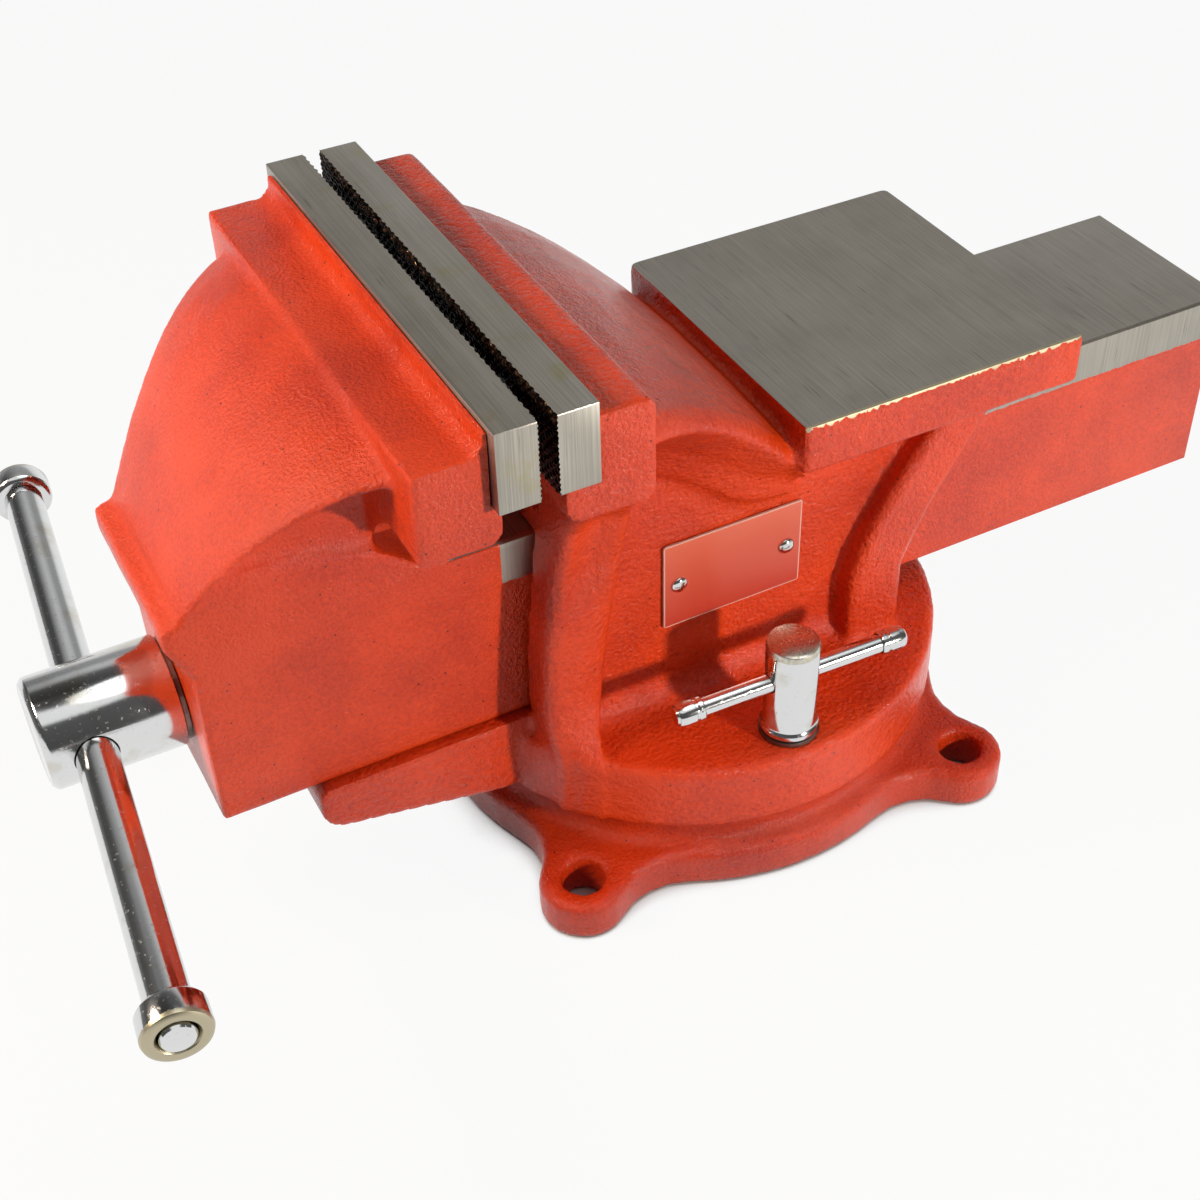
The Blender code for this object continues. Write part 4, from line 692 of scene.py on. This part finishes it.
def makeGripPlate(node, name, facing, body, material):
    # A ground block whose grip face has crossed grooves, cut into it down to their full depth.
    look = plateLook
    low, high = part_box(node)
    middle = (low + high) / 2
    length, height, depth = high.y - low.y, high.z - low.z, high.x - low.x
    pitch, groove = look["pitchMm"] / 1000, look["grooveMm"] / 1000
    bm = bmesh.new()
    cells = int((length + height) / pitch / 2 ** 0.5) + 2
    bmesh.ops.create_grid(bm, x_segments=cells, y_segments=cells, size=cells * pitch / 2)
    bmesh.ops.rotate(bm, verts=bm.verts, cent=(0, 0, 0), matrix=Matrix.Rotation(radians(45), 3, "Z"))
    bmesh.ops.inset_individual(bm, faces=bm.faces[:], thickness=(pitch - look["flatMm"] / 1000) / 2,
                               depth=groove, use_even_offset=True)
    torn = look["tornMm"] / 1000
    noise.seed_set(look["tearSeed"])
    for v in bm.verts:
        pull = noise.noise_vector((v.co + middle) * perMetre(look["pitchMm"] * 0.7))
        onCrest = v.co.z > groove / 2
        v.co += Vector((pull.x, pull.y, -abs(pull.z))) * torn if onCrest else pull * torn * 0.6
        v.co.z = max(v.co.z, 0)
    for place, facingOut in (((length / 2, 0, 0), (1, 0, 0)), ((-length / 2, 0, 0), (-1, 0, 0)),
                             ((0, height / 2, 0), (0, 1, 0)), ((0, -height / 2, 0), (0, -1, 0))):
        bmesh.ops.bisect_plane(bm, geom=bm.verts[:] + bm.edges[:] + bm.faces[:], dist=0.0000005,
                               plane_co=place, plane_no=facingOut, clear_outer=True)
    rim = [e for e in bm.edges if e.is_boundary]
    walls = bmesh.ops.extrude_edge_only(bm, edges=rim)["geom"]
    for v in (v for v in walls if isinstance(v, bmesh.types.BMVert)):
        v.co.z = groove - depth
    back = [e for e in walls if isinstance(e, bmesh.types.BMEdge) and e.is_boundary]
    bmesh.ops.holes_fill(bm, edges=back, sides=0)
    bmesh.ops.dissolve_limit(bm, angle_limit=radians(0.5), verts=[v for v in bm.verts if v.co.z < -groove],
                             edges=[e for e in bm.edges if min(v.co.z for v in e.verts) < -groove])
    bmesh.ops.recalc_face_normals(bm, faces=bm.faces)
    corners = [e for e in bm.edges if len(e.link_faces) == 2 and e.calc_face_angle(0) > radians(60)
               and min(v.co.z for v in e.verts) < -depth * 0.5]
    roundEdges(bm, corners, look["edgeMm"] / 1000, 2)
    # local X is laid along Y, local Y upright and local Z out of the grip face
    lay = Matrix(((0, 0, facing), (facing, 0, 0), (0, 1, 0))).to_4x4()
    bmesh.ops.transform(bm, matrix=lay, verts=bm.verts)
    faceX = high.x if facing > 0 else low.x
    bmesh.ops.translate(bm, verts=bm.verts, vec=(faceX - facing * groove, middle.y, middle.z))
    bmesh.ops.recalc_face_normals(bm, faces=bm.faces)
    head, shank, sunk = look["screwHeadMm"] / 1000, look["screwHoleMm"] / 1000, look["screwSunkMm"] / 1000
    for side in (-1, 1):
        sink = profileRing([(0.003, 0), (0.003, head), (-sunk, head), (-sunk - head + shank, shank),
                            (-depth - 0.003, shank), (-depth - 0.003, 0)], 48)
        aim(sink, (faceX, side * look["screwSide"], look["screwHeight"]), (facing, 0, 0))
        bm = cutOut(bm, sink)
    finishPiece(name, bm, body, "ground_steel", material, node)


steel = surfaceGroundSteel("surfaceGroundToolSteel")
makeGripPlate("fixed_jaw_plate", "fixedGripPlate", -1, "turntable", steel)
makeGripPlate("moving_jaw_plate", "movingGripPlate", 1, "jaw_carriage", steel)
print("jaw plates done")


# ---- screw, handle and locks

screwLook = {
    "centre": (0, 0, 0.0794),
    "headFront": -0.2014,
    "headRear": -0.1636,
    "headRadius": 0.0162,
    "frontChamferMm": 1.6,
    "threadFrom": -0.1345,
    "tip": 0.1716,
    "coreRadius": 0.0084,
    "crestRadius": 0.0109,
    "journalRadius": 0.0110,
    "pitchMm": 6.0,
    "stepsPerTurn": 32,
    "ridgeFoot": 0.33,    # half widths of the thread's ridge, as shares of the pitch
    "ridgeCrest": 0.18,
}
handleLook = {
    "centre": (-0.1870, 0, 0.0794),
    "skew": radians(5.3),
    "radius": 0.0059,
    "half": 0.1155,
    "capLength": 0.0100,
    "capRadius": 0.0089,
    "rivetRadius": 0.0046,
}

chrome = decorativeChrome("brightChromeOnSteel")
handleAlong = Vector((sin(handleLook["skew"]), cos(handleLook["skew"]), 0))


def makeScrew():
    look = screwLook
    start, end, radius = look["headFront"], look["headRear"], look["headRadius"]
    edge = look["frontChamferMm"] / 1000
    journal, core = look["journalRadius"], look["coreRadius"]
    threadFrom, tip, taper = look["threadFrom"], look["tip"], 0.002
    bm = profileRing([(start, 0), (start, radius - edge), (start + edge, radius), (end, radius),
                      (end, journal), (threadFrom, journal), (threadFrom + taper, core), (tip - taper, core),
                      (tip, core - taper), (tip, 0)], 96)
    easeEdges(bm, 0.0004)
    aim(bm, look["centre"], (1, 0, 0))
    bore = drill(-0.03, 0.03, handleLook["radius"] + 0.0003, 64)
    aim(bore, handleLook["centre"], handleAlong)
    bm = cutOut(bm, bore)
    finishPiece("chromedScrewHead", bm, "screw", "bright_chrome", chrome, "lead_screw")

    # one trapezoidal thread ridge, spun forwards by the pitch on each turn
    pitch = look["pitchMm"] / 1000
    bm = bmesh.new()
    sunk, crest = core - 0.0006, look["crestRadius"]
    foot, flat = look["ridgeFoot"] * pitch, look["ridgeCrest"] * pitch
    ridge = [(-foot, sunk), (-flat, crest), (flat, crest), (foot, sunk)]
    corners = [bm.verts.new((radius, 0, along)) for along, radius in ridge]
    face = bm.faces.new(corners)
    turns = int((tip - threadFrom - pitch) / pitch)
    steps = turns * look["stepsPerTurn"]
    bmesh.ops.spin(bm, geom=[face, *face.edges, *face.verts], axis=(0, 0, 1), cent=(0, 0, 0),
                   dvec=(0, 0, pitch / look["stepsPerTurn"]), angle=tau * turns, steps=steps)
    bmesh.ops.recalc_face_normals(bm, faces=bm.faces)
    bmesh.ops.translate(bm, verts=bm.verts, vec=(0, 0, threadFrom + pitch * 0.6))
    aim(bm, look["centre"], (1, 0, 0))
    finishPiece("leadThread", bm, "screw", "plain_steel", turnedMetal("oiledTurnedSteel"))


def capEnds(tree, place, graze):
    # the caps' end rings, where the plating was turned through when the bar was riveted
    look = handleLook
    centre, along = Vector(look["centre"]), handleAlong
    distance = addNode(tree, "VectorMath", {1: along}, {0: place}, operation="DOT_PRODUCT")
    fromCentre = addNode(tree, "Math", {1: centre.dot(along)}, {0: distance.outputs["Value"]},
                         operation="SUBTRACT")
    reach = addNode(tree, "Math", None, {0: fromCentre}, operation="ABSOLUTE")
    limit = addNode(tree, "MapRange", {"To Min": look["half"] - 0.0030, "To Max": look["half"] - 0.0016},
                    {"Value": graze})
    return addNode(tree, "Math", None, {0: reach, 1: limit}, operation="GREATER_THAN")


def makeHandle():
    look = handleLook
    half, inner = look["half"], look["half"] - look["capLength"]
    rivet = look["rivetRadius"]
    bar = [(inner, look["radius"]), (inner, rivet), (half - 0.0010, rivet), (half - 0.0004, rivet - 0.0004),
           (half - 0.0001, rivet - 0.0013), (half, 0)]
    bm = turnedAlike(bar, 64)
    aim(bm, look["centre"], handleAlong)
    finishPiece("handleBar", bm, "handle", "bright_chrome", chrome, "screw_handle")
    capChrome = decorativeChrome("chromeWornThroughAtEnds", capEnds)
    for way, node, name in ((-1, "handle_cap_lower", "lowerCap"), (1, "handle_cap_upper", "upperCap")):
        start, stop = inner + 0.0003, half - 0.0006
        outer, bore = look["capRadius"], rivet + 0.0003
        bm = profileRing([(start, bore), (start, outer - 0.0014), (start + 0.0004, outer - 0.0006),
                          (start + 0.0013, outer), (stop - 0.0017, outer), (stop - 0.0007, outer - 0.0004),
                          (stop - 0.0001, outer - 0.0013), (stop, outer - 0.0022),
                          (stop - 0.0003, outer - 0.0032), (stop - 0.0009, bore + 0.0003),
                          (stop - 0.0016, bore), (start, bore)], 72)
        aim(bm, look["centre"], handleAlong * way)
        finishPiece(name, bm, "handle", "bright_chrome", capChrome, node)


lockLook = {
    "nutRadius": 0.0078,
    "footRadius": 0.0086,
    "footHeight": 0.0024,
    "height": 0.0325,
    "edgeMm": 1.1,
    "barRadius": 0.0028,
    "barHalf": 0.03775,
    "barHeight": 0.0190,
    "collarRadius": 0.0036,
    "collarLength": 0.0085,
    "studRadius": 0.0053,
    "studReach": 0.0103,
    "topFrom": 0.0779,    # above it lies the turned top
}


def nutTops(tree, place, graze):
    # the nuts' turned tops, yellowed where hands and oil reach them
    spot = addNode(tree, "SeparateXYZ", None, {0: place})
    onTop = addNode(tree, "Math", {1: lockLook["topFrom"]}, {0: spot.outputs["Z"]},
                    operation="GREATER_THAN")
    patchy = addNode(tree, "MapRange", {"From Min": 0.35, "From Max": 0.65, "To Min": 0.35, "To Max": 0.95},
                     {"Value": graze})
    return addNode(tree, "Math", None, {0: onTop, 1: patchy}, operation="MULTIPLY")


nutChrome = decorativeChrome("chromeYellowedOnTop", nutTops)


def makeLock(side):
    look = lockLook
    low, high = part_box(f"lock_nut_{side}")
    foot = Vector(((low.x + high.x) / 2, (low.y + high.y) / 2, low.z))
    across = Vector((-foot.y, foot.x, 0)).normalized()
    body, edge = look["nutRadius"], look["edgeMm"] / 1000
    wide, step, top = look["footRadius"], look["footHeight"], look["height"]
    bm = profileRing([(0, 0), (0, wide - 0.0004), (0.0004, wide), (step - 0.0006, wide),
                      (step, body + 0.0002), (step + 0.0006, body), (top - edge, body),
                      (top - edge * 0.35, body - edge * 0.3), (top, body - edge), (top, 0)], 72)
    aim(bm, foot, (0, 0, 1))
    barCentre = foot + Vector((0, 0, look["barHeight"]))
    bore = drill(-0.02, 0.02, look["barRadius"] + 0.0003, 40)
    aim(bore, barCentre, across)
    bm = cutOut(bm, bore)
    stud = drill(-0.003, look["studReach"], look["studRadius"], 40)
    aim(stud, foot, (0, 0, 1))
    bm = cutOut(bm, stud)
    finishPiece(f"{side}LockNut", bm, f"lock_turner_{side}", "bright_chrome", nutChrome,
                f"lock_nut_{side}")

    half, thin = look["barHalf"], look["barRadius"]
    bar = [(half - 0.0006, thin), (half, thin - 0.0006), (half, 0)]
    bm = turnedAlike(bar, 40)
    aim(bm, barCentre, across)
    finishPiece(f"{side}TommyBar", bm, f"lock_slider_{side}", "bright_chrome", chrome, f"lock_bar_{side}")
    for index, way in enumerate((-1, 1)):
        start, stop, outer = half - look["collarLength"], half - 0.0006, look["collarRadius"]
        bore, nick = thin + 0.0002, outer - 0.0004
        bm = profileRing([(start, bore), (start, nick), (start + 0.0004, outer), (start + 0.0016, outer),
                          (start + 0.0020, nick), (start + 0.0026, nick), (start + 0.0030, outer),
                          (stop - 0.0022, outer), (stop - 0.0005, outer - 0.0003), (stop, outer - 0.0006),
                          (stop, bore), (start, bore)], 40)
        aim(bm, barCentre, across * way)
        finishPiece(f"{side}TommyCollar{index}", bm, f"lock_slider_{side}", "bright_chrome", chrome,
                    f"lock_bar_collar_{side}_{index}")


makeScrew()
makeHandle()
makeLock("near")
makeLock("far")
print("screw, handle and locks done")


# ---- nameplate and rivets

nameplateLook = {
    # the lighter top and darker bottom of the print are painted light and shade
    "top": "#DD6A50",
    "bottom": "#C4402E",
    "edge": "#DDB0A2",
    "cornerRadius": 0.0008,
    "edgeWidth": 0.00012,
    "rimWidth": 0.00045,
    "dentMm": 14,
    "rivetRadius": 0.0026,
    "rivetHeight": 0.0012,
    "shankRadius": 0.0012,
    "shankDepth": 0.0035,
}


def printedAluminium(name, low, high):
    # Thin aluminium sheet, screen-printed salmon red and left bare of any text, with a light cut edge. The
    # print is painted lighter at the top and darker towards the bottom, painted light and shade.
    look = nameplateLook
    made, tree, shader, where = startMaterial(name, {"IOR": 1.5, "Roughness": 0.27})
    spot = addNode(tree, "SeparateXYZ", None, {0: where.outputs["Object"]})
    rise = addNode(tree, "MapRange", {"From Min": low.z, "From Max": high.z}, {"Value": spot.outputs["Z"]})
    inkWithPaintedShade = addNode(tree, "Mix", {6: linearColour(look["bottom"]), 7: linearColour(look["top"])},
                  {0: rise}, data_type="RGBA")
    halfLength, halfHeight = (high.x - low.x) / 2, (high.z - low.z) / 2
    fromX = addNode(tree, "Math", {1: (low.x + high.x) / 2}, {0: spot.outputs["X"]}, operation="SUBTRACT")
    fromZ = addNode(tree, "Math", {1: (low.z + high.z) / 2}, {0: spot.outputs["Z"]}, operation="SUBTRACT")
    wideX = addNode(tree, "Math", None, {0: fromX}, operation="ABSOLUTE")
    wideZ = addNode(tree, "Math", None, {0: fromZ}, operation="ABSOLUTE")
    atX = addNode(tree, "Math", {1: halfLength - look["rimWidth"]}, {0: wideX}, operation="GREATER_THAN")
    atZ = addNode(tree, "Math", {1: halfHeight - look["rimWidth"]}, {0: wideZ}, operation="GREATER_THAN")
    rim = addNode(tree, "Math", None, {0: atX, 1: atZ}, operation="MAXIMUM")
    colour = addNode(tree, "Mix", {7: linearColour(look["edge"])}, {0: rim, 6: inkWithPaintedShade.outputs[2]},
                     data_type="RGBA")
    dents = addNode(tree, "TexNoise", {"Scale": perMetre(look["dentMm"]), "Detail": 2.0},
                    {"Vector": where.outputs["Object"]})
    bump = addNode(tree, "Bump", {"Strength": 0.5, "Distance": 0.0003}, {"Height": dents})
    join(tree, shader, {"Base Color": colour.outputs[2], "Normal": bump})
    return made


def makeNameplate():
    look = nameplateLook
    low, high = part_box("nameplate")
    middle, size = (low + high) / 2, high - low
    bm = bmesh.new()
    bmesh.ops.create_cube(bm, size=1)
    bmesh.ops.scale(bm, verts=bm.verts, vec=size)
    bmesh.ops.translate(bm, verts=bm.verts, vec=middle)
    upright = [e for e in bm.edges if abs((e.verts[0].co - e.verts[1].co).normalized().y) > 0.9]
    roundEdges(bm, upright, look["cornerRadius"], 4)
    easeEdges(bm, look["edgeWidth"], 1, 60)
    material = printedAluminium("printedAluminium", low, high)
    finishPiece("bareNameplate", bm, "turntable", "plate_red", material, "nameplate")
    rise, radius, shank = look["rivetHeight"], look["rivetRadius"], look["shankRadius"]
    dome = [(rise * sin(pi / 2 * (1 - share)), radius * sin(pi / 2 * share))
            for share in (0, 0.15, 0.3, 0.45, 0.6, 0.75, 0.88, 1)]
    for index in (0, 1):
        low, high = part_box(f"nameplate_rivet_{index}")
        middle = (low + high) / 2
        bm = profileRing(dome + [(-0.0004, radius), (-0.0004, shank), (-look["shankDepth"], shank),
                                 (-look["shankDepth"], 0)], 40)
        aim(bm, (middle.x, low.y + rise, middle.z), (0, -1, 0))
        finishPiece(f"nameplateRivet{index}", bm, "turntable", "bright_chrome", chrome,
                    f"nameplate_rivet_{index}")


makeNameplate()

# pieces whose CAD shape is already right get their finish here
plainSteel = turnedMetal("oiledMildSteel")
blackedSteel = turnedMetal("blackedSteelScrew")
greyIron = turnedMetal("machinedGreyIron")
for nodeName, nodeObject in nodes.items():
    if nodeObject.hide_render:
        continue
    finish = plainSteel
    if "plate_screw" in nodeName:
        finish = blackedSteel
    elif nodeName == "lead_nut":
        finish = greyIron
    for materialSlot in nodeObject.material_slots:
        materialSlot.material = finish
    print("carried over:", nodeName)


# ---- stage, light and camera

floorLook = {
    "half": 3.0,
    "colour": "#BCBCBA",
    "roughness": 0.9,
    "whiteShare": 0.93,
    "shadeReach": 0.03,
}
worldLook = {
    "fill": 0.12,
    # what polished metal sees of the room, as (height, brightness) from the horizon to overhead
    "farWall": ((0.0, 0.90), (0.12, 0.80), (0.26, 0.35), (0.48, 0.34), (0.60, 0.60), (0.70, 0.55),
                (0.80, 0.12), (1.0, 0.04)),
    "nearWall": ((0.0, 0.50), (0.05, 0.07), (0.76, 0.10), (0.82, 0.95), (0.97, 0.95), (0.99, 0.06),
                 (1.0, 0.04)),
    "leftShare": 0.20,    # how bright the far wall still is on its left
}


def makeFloor():
    look = floorLook
    bm = bmesh.new()
    bmesh.ops.create_grid(bm, x_segments=1, y_segments=1, size=look["half"])
    floor = plainObject("studioFloor", bm)
    made = bpy.data.materials.new("palePaperFloor")
    made.use_nodes = True
    tree = made.node_tree
    paper = tree.nodes["Principled BSDF"]
    paper.inputs["Base Color"].default_value = linearColour(look["colour"])
    paper.inputs["Roughness"].default_value = look["roughness"]
    rays = addNode(tree, "LightPath").outputs
    looked = addNode(tree, "Math", None, {0: rays["Is Camera Ray"], 1: rays["Is Glossy Ray"]},
                     operation="MAXIMUM")
    seen = addNode(tree, "Math", None, {0: looked, 1: rays["Is Transmission Ray"]}, operation="MAXIMUM")
    # the bench hardly gets any light at the bottom of the bolt holes
    opening = addNode(tree, "AmbientOcclusion", {"Distance": look["shadeReach"]})
    reached = addNode(tree, "MapRange", {"From Min": 0.32, "From Max": 0.55, "To Max": look["whiteShare"]},
                      {"Value": opening.outputs["AO"]})
    share = addNode(tree, "Math", None, {0: seen, 1: reached}, operation="MULTIPLY")
    white = addNode(tree, "Emission", {"Color": (1, 1, 1, 1), "Strength": 1.0})
    both = addNode(tree, "MixShader", None, {0: share, 1: paper, 2: white})
    join(tree, tree.nodes["Material Output"], {"Surface": both})
    floor.data.materials.append(made)


def makeWorld():
    look = worldLook
    world = bpy.data.worlds.new("paleStudio")
    bpy.context.scene.world = world
    world.use_nodes = True
    tree = world.node_tree
    fill = tree.nodes["Background"]
    fill.inputs["Color"].default_value = (1, 1, 1, 1)
    fill.inputs["Strength"].default_value = look["fill"]
    rays = addNode(tree, "LightPath").outputs
    where = addNode(tree, "TexCoord")
    way = addNode(tree, "SeparateXYZ", None, {0: where.outputs["Generated"]})
    walls = []
    for wall in ("farWall", "nearWall"):
        ramp = addNode(tree, "ValToRGB", None, {0: way.outputs["Z"]})
        bands = ramp.color_ramp.elements
        for place, grey in look[wall][1:-1]:
            bands.new(place).color = (grey, grey, grey, 1)
        for end in (0, -1):
            grey = look[wall][end][1]
            bands[end].color = (grey, grey, grey, 1)
        walls.append(ramp)
    isFar = addNode(tree, "MapRange", {"From Min": -0.2, "From Max": 0.2}, {"Value": way.outputs["Y"]})
    onRight = addNode(tree, "MapRange", {"From Min": -0.35, "From Max": 0.15, "To Min": look["leftShare"]},
                      {"Value": way.outputs["X"]})
    dimmed = addNode(tree, "VectorMath", None, {0: walls[0], "Scale": onRight}, operation="SCALE")
    room = addNode(tree, "Mix", None, {0: isFar, 6: walls[1], 7: dimmed}, data_type="RGBA")
    mirrored = addNode(tree, "Background", {"Strength": 1.0}, {"Color": room.outputs[2]})
    glossy = addNode(tree, "MixShader", None, {0: rays["Is Glossy Ray"], 1: fill, 2: mirrored})
    white = addNode(tree, "Background", {"Color": (1, 1, 1, 1), "Strength": 1.0})
    seen = addNode(tree, "Math", None, {0: rays["Is Camera Ray"], 1: rays["Is Transmission Ray"]},
                   operation="MAXIMUM")
    shown = addNode(tree, "MixShader", None, {0: seen, 1: glossy, 2: white})
    join(tree, tree.nodes["World Output"], {"Surface": shown})


lamps = {
    "windowLeft": {"at": (-0.60, 0.08, 0.49), "size": 0.22, "watts": 4.2, "tint": "#FFECD6"},
    "bareBulbRight": {"at": (0.26, -0.59, 0.24), "size": 0.05, "watts": 3.2, "tint": "#FFF8F0"},
    "softTop": {"at": (0.15, -0.15, 1.20), "size": 0.70, "watts": 1.8, "tint": "#FFFFFF"},
}
lampTarget = (0, 0, 0.09)


def makeLights():
    for name, look in lamps.items():
        lamp = bpy.data.lights.new(name, "AREA")
        lamp.shape = "DISK"
        lamp.size = look["size"]
        lamp.energy = look["watts"]
        lamp.color = linearColour(look["tint"])[:3]
        made = bpy.data.objects.new(name, lamp)
        made.location = look["at"]
        towards = Vector(lampTarget) - made.location
        made.rotation_euler = towards.to_track_quat("-Z", "Y").to_euler()
        bpy.context.scene.collection.objects.link(made)


cameraLook = {
    "at": (-0.2232, -0.3881, 0.4290),
    "right": (0.88470763, -0.46555922, -0.02338855),
    "down": (-0.31970831, -0.5695022, -0.75726735),
    "forward": (0.33923297, 0.67743772, -0.65268609),
    "focalPixels": 1840.84,
    "imagePixels": 1200,
    "sensorMm": 36,
    "nearest": 0.02,
}


def makeCamera():
    look = cameraLook
    camera = bpy.data.cameras.new("photoCamera")
    camera.sensor_width = look["sensorMm"]
    camera.lens = camera.sensor_width * look["focalPixels"] / look["imagePixels"]
    camera.clip_start = look["nearest"]
    made = bpy.data.objects.new("photoCamera", camera)
    columns = Matrix((look["right"], -Vector(look["down"]), -Vector(look["forward"]))).transposed()
    made.matrix_world = Matrix.Translation(look["at"]) @ columns.to_4x4()
    bpy.context.scene.collection.objects.link(made)
    bpy.context.scene.camera = made


makeFloor()
makeWorld()
makeLights()
makeCamera()
bpy.context.scene.view_settings.view_transform = "Standard"
print("stage, light and camera done")
